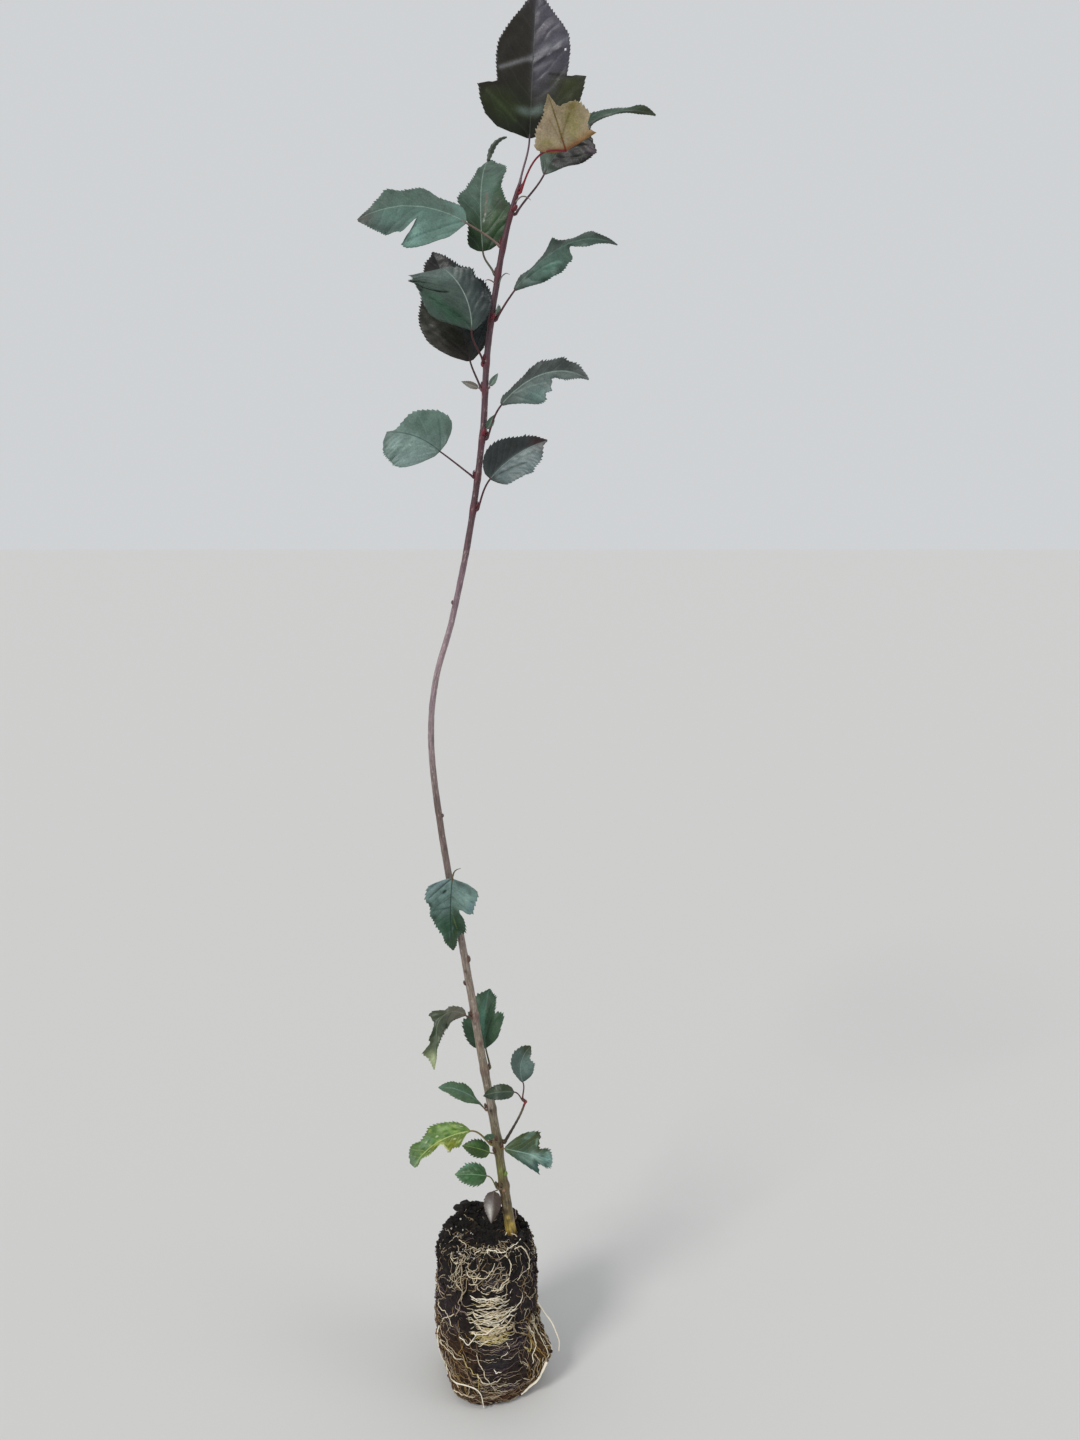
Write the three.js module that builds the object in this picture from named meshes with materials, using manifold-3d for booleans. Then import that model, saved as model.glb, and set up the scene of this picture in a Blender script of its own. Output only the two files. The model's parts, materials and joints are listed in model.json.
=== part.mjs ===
// Crab apple plug plant: one slender whip on its bare, cylindrical root ball.
// Millimetres, +Z up. The origin is the middle of the root ball's flat underside,
// +X is to the right of the plant's front and -Y is towards its front.
import * as THREE from "three";
import Module from "manifold-3d";

const wasm = await Module();
wasm.setup();

const CLEARANCE = 0.35;

// Root ball: radius by height, a crumbly top, a bulge of matted roots low on the right and a
// narrower foot on the left.
const BALL_HEIGHT = 97;
const BALL_PROFILE = [
  [0, 28], [3, 30.4], [9, 31.8], [24, 32.3], [45, 31.8], [66, 30.8], [85, 30.3], [93, 28.8], [97, 25.5],
];
const BALL_LEVELS = [0, 2.5, 7, 13, 21, 31, 43, 55, 67, 78, 87, 94];
const BALL_SIDES = 28;
const BALL_LUMP = 0.9;
const BALL_TOP_LUMP = 2.2;
const BALL_CROWN = { azimuth: 115, rise: 2.8 };
const BALL_TOP_RINGS = [0.82, 0.55, 0.28];
const BULGES = [
  { middle: -16, level: 19, reach: 8.5, spread: 26, rise: 14 },
  { middle: 192, level: 0, reach: -7, spread: 36, rise: 26 },
];

// Stem: sideways place and width by height. It is cut flat inside the ball.
const STEM_FOOT = 82;
const STEM_TIP = 706;
const SOCKET_TOP = 120;
const STEM_COURSE = [
  [82, 18.0], [97, 15.6], [132, 10.7], [172, 5.4], [221, -2.7], [278, -11.4], [337, -21.4], [391, -28.1],
  [420, -28.6], [446, -25.0], [477, -16.0], [527, -5.3], [581, 2.4], [620, 4.9], [661, 11.1],
  [684, 16.0], [706, 22.6],
];
const STEM_WIDTH = [
  [82, 7.4], [97, 6.8], [115, 6.2], [145, 5.5], [215, 4.9], [270, 4.4], [350, 3.9], [420, 3.4],
  [475, 3.3], [540, 3.5], [620, 3.4], [670, 3.2], [690, 2.9], [698, 2.6], [706, 1.7],
];
const STEM_STEP = 17;
const STEM_SIDES = 8;
const NODE_SWELLING = 0.14;
const NODE_SPREAD = 3;

// Leaf stalks.
const STALK_RADIUS = 0.75;
const STALK_SIDES = 6;
const STALK_STEPS = 6;
const STALK_SHOULDER = 0.9;
const STALK_IN_BLADE = 3;
const STALK_RISE = 0.06;
const SPUR_ROOT = 2.5;
const SPUR_TAPER = 0.6;

// Leaf blades: half width along the midrib for an entire and for a three-lobed side.
const LEAF_THICKNESS = 1;
const ENTIRE_SIDE = [
  [0, 0.05], [0.02, 0.3], [0.05, 0.55], [0.12, 0.8], [0.2, 0.93], [0.29, 1], [0.4, 0.98], [0.5, 0.9],
  [0.6, 0.78], [0.71, 0.6], [0.82, 0.4], [0.91, 0.2], [1, 0.02],
];
const LOBED_SIDE = [
  [0, 0.05], [0.02, 0.29], [0.05, 0.62], [0.12, 0.85], [0.2, 0.95], [0.29, 1], [0.325, 0.6], [0.4, 0.63],
  [0.5, 0.66], [0.6, 0.62], [0.71, 0.45], [0.82, 0.27], [0.91, 0.14], [1, 0.02],
];
const LARGE_LEAF = 26;
const LARGE_LEAF_ROWS = [0, 0.05, 0.15, 0.29, 0.325, 0.45, 0.6, 0.76, 0.9, 1];
const SMALL_LEAF_ROWS = [0, 0.08, 0.29, 0.55, 0.8, 1];
const LARGE_LEAF_COLUMNS = [-1, -0.5, 0, 0.5, 1];
const SMALL_LEAF_COLUMNS = [-1, 0, 1];
const MIDRIB_STEPS = 40;

// Side shoot low on the right, which carries two small leaves at its tip.
const SHOOT = { node: 158, knee: [21, -2, 176], tip: [25, -3, 187], radius: 0.85, budRadius: 1.3 };

// Each leaf: node is the height on the stem that carries it and base is the foot of its blade.
// heading is the midrib's direction seen from the front (0 right, 90 up), toward its lean to the
// front, and roll turns the upper face away from the front about the midrib. droop bends the midrib
// to the underside and curve to the blade's left, both as far as bendEnd, and fold lifts both halves.
// outline gives, by share of the midrib, the left and right half width as shares of half the width.
// A leaf without one has lobes for its right and left side: 0 is entire and 1 three-lobed.
// sweep points the lobes forward, skew more so on the right, and side is the azimuth that a stalk
// leaves by. arrive is the stalk's direction where it meets the blade and rise how much it arches
// up. spur is a thin tail that leaves the midrib at a share of its length.
const LEAVES = [
  { name: "leaf_top", node: 706, atTip: true, base: [28, 1, 729], heading: 87, toward: 12, roll: 0,
    length: 72, width: 56, lobes: [0.9, 0.9], droop: 25, fold: 12, sweep: 0.2, skew: 0.11,
    colour: "#34323a" },
  { name: "leaf_bronze", node: 702, side: 330, base: [46.9, -11, 718.8], heading: 109, toward: 5,
    roll: 180, length: 31, width: 33, droop: 70, curve: -9, fold: -8, sweep: 0.5, arrive: -5, rise: 0.5,
    outline: [
      [0, 1.05, 0.45], [0.05, 0.87, 0.85], [0.125, 0.86, 0.87], [0.175, 1, 0.8], [0.25, 0.94, 0.73],
      [0.375, 0.82, 0.57], [0.5, 0.65, 0.42], [0.575, 0.42, 0.34], [0.65, 0.18, 0.27], [0.8, 0.08, 0.14],
      [1, 0.02, 0.02],
    ],
    colour: "#8c7a44" },
  { name: "leaf_slim_right", node: 692, base: [35.7, 3, 712.1], heading: 63, toward: -5, roll: -22,
    length: 72, width: 34, droop: -30, curve: -96, fold: 8,
    outline: [
      [0, 0.05, 0.06], [0.05, 0.27, 0.35], [0.1, 0.47, 0.58], [0.15, 0.5, 0.88], [0.225, 0.49, 1],
      [0.3, 0.45, 1], [0.35, 0.38, 0.95], [0.4, 0.32, 0.6], [0.45, 0.26, 0.22], [0.5, 0.21, 0.09],
      [0.6, 0.14, 0.08], [0.7, 0.09, 0.07], [0.775, 0.07, 0.07], [0.85, 0.14, 0.09], [0.9, 0.15, 0.08],
      [1, 0.02, 0.02],
    ],
    colour: "#3c4a42" },
  { name: "leaf_upright", node: 661, base: [2.8, 6, 674.3], heading: 95, toward: 0, roll: 0,
    length: 70, width: 30, droop: 65, curve: -12, fold: 12,
    outline: [
      [0, 0.2, 0.3], [0.025, 0.45, 0.6], [0.075, 0.5, 0.92], [0.15, 0.45, 1.1], [0.25, 0.57, 1.15],
      [0.325, 0.8, 0.92], [0.4, 0.7, 0.82], [0.475, 0.55, 0.73], [0.6, 0.35, 0.85], [0.725, 0.2, 0.77],
      [0.825, 0.12, 0.5], [0.9, 0.08, 0.23], [1, 0.02, 0.02],
    ],
    spur: { share: 1, radius: 1.1, course: [[0.8, 0, 4], [3.2, -1, 8], [6.8, -1, 10.8], [10, -1, 11.8]] },
    colour: "#3d6152" },
  { name: "leaf_long_left", node: 675, base: [-5.5, -1, 686.8], heading: 151.5, toward: 8, roll: 22,
    length: 60, width: 31, droop: 10, curve: 63, fold: 6, sweep: 0.6,
    outline: [
      [0, 0.1, 0.05], [0.025, 0.75, 0.3], [0.075, 1.08, 0.42], [0.15, 1.5, 0.42], [0.225, 1.65, 0.42],
      [0.275, 1.6, 0.6], [0.325, 1.35, 0.68], [0.375, 0.5, 0.6], [0.425, 0.95, 0.55], [0.5, 0.96, 0.5],
      [0.6, 0.95, 0.58], [0.7, 0.85, 0.4], [0.8, 0.65, 0.22], [0.9, 0.38, 0.1], [1, 0.03, 0.02],
    ],
    colour: "#5d7a70" },
  { name: "leaf_dark_front", node: 616, base: [-2.8, -9, 631], heading: 87, toward: 4, roll: 0,
    length: 37, width: 42, droop: 20, curve: 57, fold: 10, skew: -0.45,
    outline: [
      [0, 0.85, 0.05], [0.025, 1.05, 0.1], [0.075, 1.13, 0.2], [0.15, 1.19, 0.35], [0.225, 1.18, 0.45],
      [0.3, 1.2, 0.52], [0.425, 1.15, 0.48], [0.575, 1.05, 0.45], [0.675, 0.95, 0.41],
      [0.75, 0.85, 0.45], [0.85, 0.74, 0.28], [0.925, 0.7, 0.15], [1, 0.66, 0.03],
    ],
    colour: "#3f5149" },
  { name: "leaf_dark_behind", node: 602, base: [-4.6, 5, 617.6], heading: 104, toward: -10, roll: 0,
    length: 70, width: 39, droop: 20, curve: 10.5, fold: 10,
    outline: [
      [0, 0.1, 0.1], [0.05, 0.5, 0.45], [0.15, 0.95, 0.77], [0.225, 1.07, 0.93], [0.325, 1.08, 1.08],
      [0.475, 0.88, 1], [0.55, 0.78, 0.83], [0.625, 0.68, 0.82], [0.675, 0.6, 0.63], [0.775, 0.48, 0.45],
      [0.875, 0.32, 0.28], [0.95, 0.1, 0.12], [1, 0.02, 0.02],
    ],
    colour: "#2f3431" },
  { name: "leaf_high_right", node: 638, base: [20.1, -3, 652.6], heading: 51.5, toward: 4, roll: -28,
    length: 70.5, width: 24, droop: -40, curve: -85, fold: -8,
    outline: [
      [0, 0.08, 0.06], [0.075, 0.22, 0.39], [0.15, 0.18, 0.7], [0.225, 0.16, 0.88], [0.3, 0.18, 0.95],
      [0.35, 0.38, 0.9], [0.4, 0.55, 0.8], [0.45, 0.32, 0.7], [0.5, 0.22, 0.58], [0.525, 0.2, 0.12],
      [0.6, 0.17, 0.22], [0.7, 0.28, 0.29], [0.8, 0.22, 0.18], [0.9, 0.12, 0.11], [1, 0.02, 0.02],
    ],
    colour: "#4c6c5f" },
  { name: "leaf_mid_right", node: 576, base: [12.7, -3, 593.6], heading: 48.5, toward: 6, roll: -28,
    length: 59.5, width: 26, droop: -27, curve: -84, fold: -5,
    outline: [
      [0, 0.1, 0.08], [0.05, 0.26, 0.28], [0.15, 0.23, 0.68], [0.25, 0.27, 1], [0.325, 0.36, 1.07],
      [0.375, 0.45, 0.98], [0.425, 0.57, 0.78], [0.5, 0.5, 0.72], [0.55, 0.48, 0.25], [0.65, 0.51, 0.28],
      [0.725, 0.4, 0.3], [0.8, 0.34, 0.24], [0.9, 0.2, 0.12], [1, 0.02, 0.02],
    ],
    colour: "#4a5f55" },
  { name: "leaf_round_left", node: 555, base: [-21.2, -1, 569.1], heading: 138, toward: 12, roll: 5,
    length: 31.7, width: 33, droop: 30, curve: 44, fold: 5, skew: -0.15, arrive: 145, rise: 0,
    outline: [
      [0, 0.25, 0.35], [0.025, 0.42, 0.65], [0.075, 0.72, 0.93], [0.125, 0.95, 1.04], [0.2, 1.15, 1.08],
      [0.3, 1.18, 1.03], [0.425, 1.1, 0.9], [0.55, 1, 0.75], [0.65, 0.92, 0.55], [0.75, 0.82, 0.28],
      [0.85, 0.7, 0.08], [0.925, 0.55, 0.04], [1, 0.25, 0.02],
    ],
    colour: "#5f7d73" },
  { name: "leaf_folded_right", node: 538, base: [6.3, -5, 554.2], heading: 50, toward: 10, roll: -8,
    length: 38, width: 28, droop: 10, curve: -34, fold: 25,
    outline: [
      [0, 0.3, 0.1], [0.025, 0.42, 0.4], [0.075, 0.62, 0.7], [0.175, 0.85, 0.85], [0.275, 0.88, 0.92],
      [0.375, 0.83, 0.97], [0.475, 0.7, 1.04], [0.575, 0.57, 0.87], [0.7, 0.45, 0.75],
      [0.825, 0.3, 0.45], [0.9, 0.17, 0.17], [1, 0.02, 0.02],
    ],
    colour: "#55665f" },
  { name: "leaf_hanging", node: 321, side: 290, base: [-17.3, -6, 327.5], heading: 263, toward: 4,
    roll: 0, length: 44, width: 30, droop: 10, curve: 14, fold: 8, sweep: 0.5, skew: -0.2,
    outline: [
      [0, 0.6, 0.2], [0.025, 0.95, 0.45], [0.075, 1.04, 0.85], [0.15, 0.96, 0.95], [0.225, 0.9, 0.96],
      [0.275, 0.8, 0.82], [0.325, 0.32, 0.77], [0.4, 0.46, 0.77], [0.475, 0.54, 0.7], [0.6, 0.54, 0.54],
      [0.675, 0.35, 0.42], [0.75, 0.22, 0.31], [0.875, 0.16, 0.23], [1, 0.02, 0.03],
    ],
    colour: "#46605c" },
  { name: "leaf_arching", node: 240, base: [-10.7, -6, 243.1], heading: 138.5, toward: 5, roll: 25,
    length: 46, width: 15, droop: 25, curve: 124, bendEnd: 0.5, fold: -15,
    outline: [
      [0, 0.1, 0.1], [0.05, 0.45, 0.35], [0.1, 0.6, 0.38], [0.2, 0.78, 0.4], [0.25, 0.88, 0.28],
      [0.3, 0.88, 0.6], [0.35, 0.82, 0.9], [0.425, 0.72, 0.3], [0.525, 0.55, 0.32], [0.6, 0.4, 0.55],
      [0.65, 0.3, 0.45], [0.7, 0.2, 0.75], [0.75, 0.12, 1], [0.85, 0.12, 0.45], [1, 0.02, 0.05],
    ],
    colour: "#3d4a3a" },
  { name: "leaf_behind_stem", node: 205, side: 20, base: [0.5, 6, 216.3], heading: 99, toward: -5,
    roll: 0, length: 36, width: 24, droop: 40, curve: -23, fold: 18, sweep: 0.5, skew: 0.3,
    outline: [
      [0, 0.1, 0.08], [0.025, 0.5, 0.33], [0.075, 0.7, 0.7], [0.15, 0.87, 0.88], [0.25, 1.02, 1.08],
      [0.375, 1.08, 0.82], [0.425, 0.92, 0.58], [0.575, 0.7, 0.54], [0.725, 0.69, 0.47],
      [0.8, 0.54, 0.36], [0.9, 0.25, 0.18], [1, 0.02, 0.02],
    ],
    colour: "#34594a" },
  { name: "leaf_small_left", node: 180, base: [-1.2, -2, 182.3], heading: 124, toward: 8, roll: 66,
    length: 31.7, width: 13, droop: 80, fold: 4,
    outline: [
      [0, 0.05, 0.05], [0.1, 0.2, 0.1], [0.175, 0.45, 0.15], [0.275, 0.78, 0.45], [0.4, 1, 0.78],
      [0.525, 0.95, 0.82], [0.7, 0.6, 0.73], [0.825, 0.45, 0.54], [0.925, 0.25, 0.3], [1, 0.03, 0.03],
    ],
    colour: "#3f6a50" },
  { name: "leaf_shoot_left", onShoot: true, base: [18, -6, 194], heading: 160, toward: 24, roll: 50,
    length: 21, width: 9, lobes: [0, 0], droop: 85, fold: 4, colour: "#33463a" },
  { name: "leaf_shoot_top", onShoot: true, base: [23.1, -2, 198.5], heading: 112, toward: -8, roll: 0,
    length: 23.4, width: 14, droop: 10, curve: -70, fold: 25,
    outline: [
      [0, 0.1, 0.3], [0.05, 0.2, 0.85], [0.15, 0.4, 1.2], [0.3, 0.75, 1.3], [0.475, 0.95, 1.2],
      [0.65, 0.87, 0.65], [0.825, 0.55, 0.48], [1, 0.05, 0.05],
    ],
    colour: "#3c5558" },
  { name: "leaf_variegated", node: 157, base: [-9.1, -3, 166.8], heading: 185.5, toward: 6, roll: 30,
    length: 44, width: 20, droop: 45, curve: 44.5, fold: -12,
    outline: [
      [0, 0.06, 0.1], [0.05, 0.15, 0.38], [0.1, 0.45, 0.55], [0.15, 0.72, 0.67], [0.25, 0.68, 0.85],
      [0.325, 0.78, 0.95], [0.4, 0.28, 1], [0.475, 0.2, 0.98], [0.55, 0.23, 0.87], [0.65, 0.27, 0.73],
      [0.75, 0.18, 0.97], [0.85, 0.14, 1], [0.925, 0.16, 0.87], [1, 0.04, 0.35],
    ],
    colour: "#86a43a" },
  { name: "leaf_low_left", node: 152, base: [3, -7, 155], heading: 145, toward: 16, roll: 50,
    length: 18, width: 10, lobes: [0, 0], droop: 60, fold: 8, colour: "#3f6b24" },
  { name: "leaf_tiny_front", node: 160, side: 270, base: [4, -6, 163], heading: 110, toward: 30,
    roll: 180, length: 8, width: 6, lobes: [0, 0], droop: 10, fold: 8, colour: "#4a7a5c" },
  { name: "leaf_low_right", node: 155, side: 310, base: [12, -6, 157], heading: -6, toward: 10,
    roll: -38, length: 32, width: 25, lobes: [0.2, 0.6], droop: 48, fold: 5, sweep: 0.8, skew: 0.3,
    colour: "#4c7a68" },
  { name: "leaf_foot_left", node: 128, base: [1, -3, 137], heading: 165, toward: 10, roll: 50,
    length: 20, width: 13, lobes: [0.1, 0.1], droop: 35, fold: 8, colour: "#3f7048" },
  { name: "leaf_withered", node: 129, side: 250, base: [5, -5, 128], heading: 266, toward: 5, roll: 0,
    length: 21, width: 11, lobes: [0, 0], droop: 5, fold: -20, arrive: 180, colour: "#8a7f7b" },
];

// Thick roots that stand away from the ball: azimuth, height and stand-off of each point.
const LOOSE_ROOTS = [
  { name: "loose_root_left", radius: 0.6,
    course: [[206, 43, 0], [203, 37, 0.4], [204, 27, 0.6], [207, 16, 0.5], [210, 9, 0]] },
  { name: "loose_root_right", radius: 0.6,
    course: [[-4, 50, 0], [-7, 45, 3.5], [-8, 36, 8], [-8, 27, 6.5], [-8, 19, 5]] },
  { name: "loose_root_thick", radius: 1,
    course: [[-24, 20, 0], [-31, 12, 0.6], [-39, 6, 1], [-48, 4, 0.4]] },
  { name: "loose_root_front", radius: 0.6,
    course: [
      [226, 13, 0], [238, 15, 0.4], [250, 16, 0.6], [261, 15, 0.6], [266, 11, 0.6], [268, 5, 1],
      [269, 1.2, 1.6],
    ] },
];
const ROOT_SIDES = 6;
const ROOT_STEPS = 3;

function radians(degrees) {
  return THREE.MathUtils.degToRad(degrees);
}

// Value at a place along stations of [place, value].
function between(stations, at) {
  const last = stations.length - 1;
  if (at <= stations[0][0]) return stations[0][1];
  for (let i = 0; i < last; i += 1) {
    const [a, valueA] = stations[i];
    const [b, valueB] = stations[i + 1];
    if (at <= b) return valueA + ((valueB - valueA) * (at - a)) / (b - a);
  }
  return stations[last][1];
}

// The same on a smooth curve through the stations.
function smoothBetween(stations, at) {
  const last = stations.length - 1;
  let i = 0;
  while (i < last - 1 && at > stations[i + 1][0]) i += 1;
  const slope = (k) => {
    const low = stations[Math.max(k - 1, 0)];
    const high = stations[Math.min(k + 1, last)];
    return (high[1] - low[1]) / (high[0] - low[0]);
  };
  const span = stations[i + 1][0] - stations[i][0];
  const t = (at - stations[i][0]) / span;
  const t2 = t * t;
  const t3 = t2 * t;
  const start = (2 * t3 - 3 * t2 + 1) * stations[i][1] + (t3 - 2 * t2 + t) * slope(i) * span;
  const end = (3 * t2 - 2 * t3) * stations[i + 1][1] + (t3 - t2) * slope(i + 1) * span;
  return start + end;
}

function geometryFrom(points, triangles) {
  const geometry = new THREE.BufferGeometry();
  const coordinates = points.flatMap((point) => point.toArray());
  geometry.setAttribute("position", new THREE.Float32BufferAttribute(coordinates, 3));
  geometry.setIndex(triangles);
  return geometry;
}

function solidFrom(geometry) {
  const mesh = new wasm.Mesh({
    numProp: 3,
    vertProperties: new Float32Array(geometry.getAttribute("position").array),
    triVerts: new Uint32Array(geometry.getIndex().array),
  });
  return new wasm.Manifold(mesh);
}

function geometryFromSolid(solid) {
  const mesh = solid.getMesh();
  const geometry = new THREE.BufferGeometry();
  geometry.setAttribute("position", new THREE.BufferAttribute(mesh.vertProperties, 3));
  geometry.setIndex(new THREE.BufferAttribute(mesh.triVerts, 1));
  return geometry;
}

// Closed tube of rings round a course of points, with a radius for each point.
function tube(course, radii, sides) {
  const count = course.length;
  const points = [];
  let across = new THREE.Vector3(0, 1, 0);
  for (let i = 0; i < count; i += 1) {
    const before = course[Math.max(i - 1, 0)];
    const after = course[Math.min(i + 1, count - 1)];
    const along = after.clone().sub(before).normalize();
    if (i === 0 && Math.abs(across.dot(along)) > 0.9) across = new THREE.Vector3(1, 0, 0);
    across = across.clone().addScaledVector(along, -across.dot(along)).normalize();
    const beside = along.clone().cross(across);
    for (let k = 0; k < sides; k += 1) {
      const turn = (2 * Math.PI * k) / sides;
      const rim = course[i].clone();
      rim.addScaledVector(across, Math.cos(turn) * radii[i]);
      rim.addScaledVector(beside, Math.sin(turn) * radii[i]);
      points.push(rim);
    }
  }
  const triangles = [];
  for (let i = 0; i < count - 1; i += 1) {
    for (let k = 0; k < sides; k += 1) {
      const a = i * sides + k;
      const b = i * sides + ((k + 1) % sides);
      triangles.push(a, b, b + sides, a, b + sides, a + sides);
    }
  }
  const end = (count - 1) * sides;
  for (let k = 1; k < sides - 1; k += 1) {
    triangles.push(0, k + 1, k);
    triangles.push(end, end + k, end + k + 1);
  }
  return geometryFrom(points, triangles);
}

function stemPoint(height) {
  return new THREE.Vector3(smoothBetween(STEM_COURSE, height), 0, height);
}

function stemRadius(height) {
  let radius = between(STEM_WIDTH, height) / 2;
  for (const leaf of LEAVES) {
    const away = (height - (leaf.node ?? Infinity)) / NODE_SPREAD;
    radius += NODE_SWELLING * radius * Math.exp(-(away ** 2));
  }
  return radius;
}

function stemDirection(height) {
  return stemPoint(height + 1).sub(stemPoint(height - 1)).normalize();
}

// Heights of the stem's rings: even steps, with one at every node.
function stemHeights() {
  const heights = [STEM_FOOT];
  for (let height = 97; height < STEM_TIP - STEM_STEP / 2; height += STEM_STEP) heights.push(height);
  for (const leaf of LEAVES) {
    if (leaf.node) heights.push(leaf.node);
  }
  heights.push(STEM_TIP);
  heights.sort((a, b) => a - b);
  return heights.filter((height, i) => i === 0 || height - heights[i - 1] > 2);
}

function stemGeometry() {
  const heights = stemHeights();
  return tube(heights.map(stemPoint), heights.map(stemRadius), STEM_SIDES);
}

// Midrib of a leaf: places and directions (along, up from the upper face, and across).
function midrib(leaf) {
  const heading = radians(leaf.heading);
  const toward = radians(leaf.toward);
  const roll = radians(leaf.roll);
  const front = new THREE.Vector3(0, -1, 0);
  const along = new THREE.Vector3(
    Math.cos(heading) * Math.cos(toward), -Math.sin(toward), Math.sin(heading) * Math.cos(toward));
  const up = front.clone().addScaledVector(along, -front.dot(along)).normalize();
  up.applyAxisAngle(along, roll);
  const across = along.clone().cross(up);
  const place = new THREE.Vector3(...leaf.base);
  const stations = [];
  for (let i = 0; i <= MIDRIB_STEPS; i += 1) {
    const bent = Math.min(i / MIDRIB_STEPS / (leaf.bendEnd ?? 1), 1);
    const droop = -radians(leaf.droop) * bent;
    const curve = radians(leaf.curve ?? 0) * bent;
    const upHere = up.clone().applyAxisAngle(across, droop);
    const alongHere = along.clone().applyAxisAngle(across, droop).applyAxisAngle(upHere, curve);
    const acrossHere = alongHere.clone().cross(upHere);
    stations.push({ place: place.clone(), along: alongHere, up: upHere, across: acrossHere });
    place.addScaledVector(alongHere, leaf.length / MIDRIB_STEPS);
  }
  return stations;
}

function midribAt(stations, share) {
  return stations[Math.round(share * MIDRIB_STEPS)];
}

// Half width of a blade as a share of half its full width, on one side of the midrib.
function halfWidth(leaf, share, side) {
  if (leaf.outline) {
    return between(leaf.outline.map(([at, left, right]) => [at, side > 0 ? right : left]), share);
  }
  const lobe = leaf.lobes[side > 0 ? 0 : 1];
  return (1 - lobe) * between(ENTIRE_SIDE, share) + lobe * between(LOBED_SIDE, share);
}

// A point of the blade's middle surface: column runs from -1 to 1 across the blade.
function bladePoint(leaf, stations, share, column) {
  const { place, along, up, across } = midribAt(stations, share);
  const side = column < 0 ? -1 : 1;
  const width = Math.abs(column) * halfWidth(leaf, share, side) * (leaf.width / 2);
  const fold = radians(leaf.fold);
  const sweep = ((leaf.sweep ?? 0.3) + side * (leaf.skew ?? 0)) * Math.min(1, 0.3 + 2.4 * share);
  return place.clone()
    .addScaledVector(across, side * width * Math.cos(fold))
    .addScaledVector(up, width * Math.sin(fold))
    .addScaledVector(along, sweep * width);
}

// Blade as a closed sheet of even thickness.
function bladeGeometry(leaf, stations) {
  const large = leaf.length >= LARGE_LEAF;
  const rows = leaf.outline?.map(([share]) => share) ?? (large ? LARGE_LEAF_ROWS : SMALL_LEAF_ROWS);
  const columns = large ? LARGE_LEAF_COLUMNS : SMALL_LEAF_COLUMNS;
  const wide = columns.length;
  const layer = rows.length * wide;
  const points = [];
  for (const lift of [LEAF_THICKNESS / 2, -LEAF_THICKNESS / 2]) {
    for (const share of rows) {
      const up = midribAt(stations, share).up;
      for (const column of columns) {
        points.push(bladePoint(leaf, stations, share, column).addScaledVector(up, lift));
      }
    }
  }
  const triangles = [];
  for (let i = 0; i < rows.length - 1; i += 1) {
    for (let k = 0; k < wide - 1; k += 1) {
      const a = i * wide + k;
      const b = a + 1;
      const c = b + wide;
      const d = a + wide;
      triangles.push(a, b, c, a, c, d);
      triangles.push(layer + a, layer + c, layer + b, layer + a, layer + d, layer + c);
    }
  }
  const rim = [];
  for (let k = 0; k < wide; k += 1) rim.push(k);
  for (let i = 1; i < rows.length; i += 1) rim.push(i * wide + wide - 1);
  for (let k = wide - 2; k >= 0; k -= 1) rim.push((rows.length - 1) * wide + k);
  for (let i = rows.length - 2; i > 0; i -= 1) rim.push(i * wide);
  for (let i = 0; i < rim.length; i += 1) {
    const a = rim[i];
    const b = rim[(i + 1) % rim.length];
    triangles.push(a, layer + b, b, a, layer + a, layer + b);
  }
  return geometryFrom(points, triangles);
}

// Where a leaf's stalk starts: just clear of the stem, or of the side shoot's tip.
function stalkStart(leaf) {
  const base = new THREE.Vector3(...leaf.base);
  const carrier = leaf.onShoot ? new THREE.Vector3(...SHOOT.tip) : stemPoint(leaf.node);
  const radius = leaf.onShoot ? SHOOT.budRadius : stemRadius(leaf.node);
  const axis = leaf.onShoot ? new THREE.Vector3(0, 0, 1) : stemDirection(leaf.node);
  if (leaf.atTip) return { out: axis, start: stemPoint(STEM_TIP).addScaledVector(axis, CLEARANCE) };
  const out = base.clone().sub(carrier).setZ(0);
  if (leaf.side !== undefined) out.set(Math.cos(radians(leaf.side)), Math.sin(radians(leaf.side)), 0);
  out.addScaledVector(axis, -out.dot(axis)).normalize();
  return { out, start: carrier.clone().addScaledVector(out, radius + CLEARANCE) };
}

function stalkCourse(leaf, stations) {
  const { out, start } = stalkStart(leaf);
  const base = new THREE.Vector3(...leaf.base);
  const shoulder = start.clone().addScaledVector(out, STALK_SHOULDER);
  const reach = shoulder.distanceTo(base);
  const arrive = stations[0].along.clone();
  if (leaf.arrive !== undefined) {
    arrive.set(Math.cos(radians(leaf.arrive)), 0, Math.sin(radians(leaf.arrive)));
  }
  const curve = new THREE.CubicBezierCurve3(
    shoulder,
    shoulder.clone().lerp(base, 0.3).add(new THREE.Vector3(0, 0, (leaf.rise ?? STALK_RISE) * reach)),
    base.clone().addScaledVector(arrive, -0.35 * reach),
    base,
  );
  const inside = base.clone().addScaledVector(stations[0].along, STALK_IN_BLADE);
  return [start, ...curve.getPoints(STALK_STEPS), inside];
}

function spurSolid(spur, stations) {
  const { place, along } = midribAt(stations, spur.share);
  const root = place.clone().addScaledVector(along, -SPUR_ROOT);
  const knots = spur.course.map((offset) => place.clone().add(new THREE.Vector3(...offset)));
  const course = new THREE.CatmullRomCurve3([root, ...knots]).getPoints(2 * knots.length);
  const radii = course.map((_, i) => spur.radius * (1 - (SPUR_TAPER * i) / (course.length - 1)));
  return solidFrom(tube(course, radii, STALK_SIDES));
}

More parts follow.
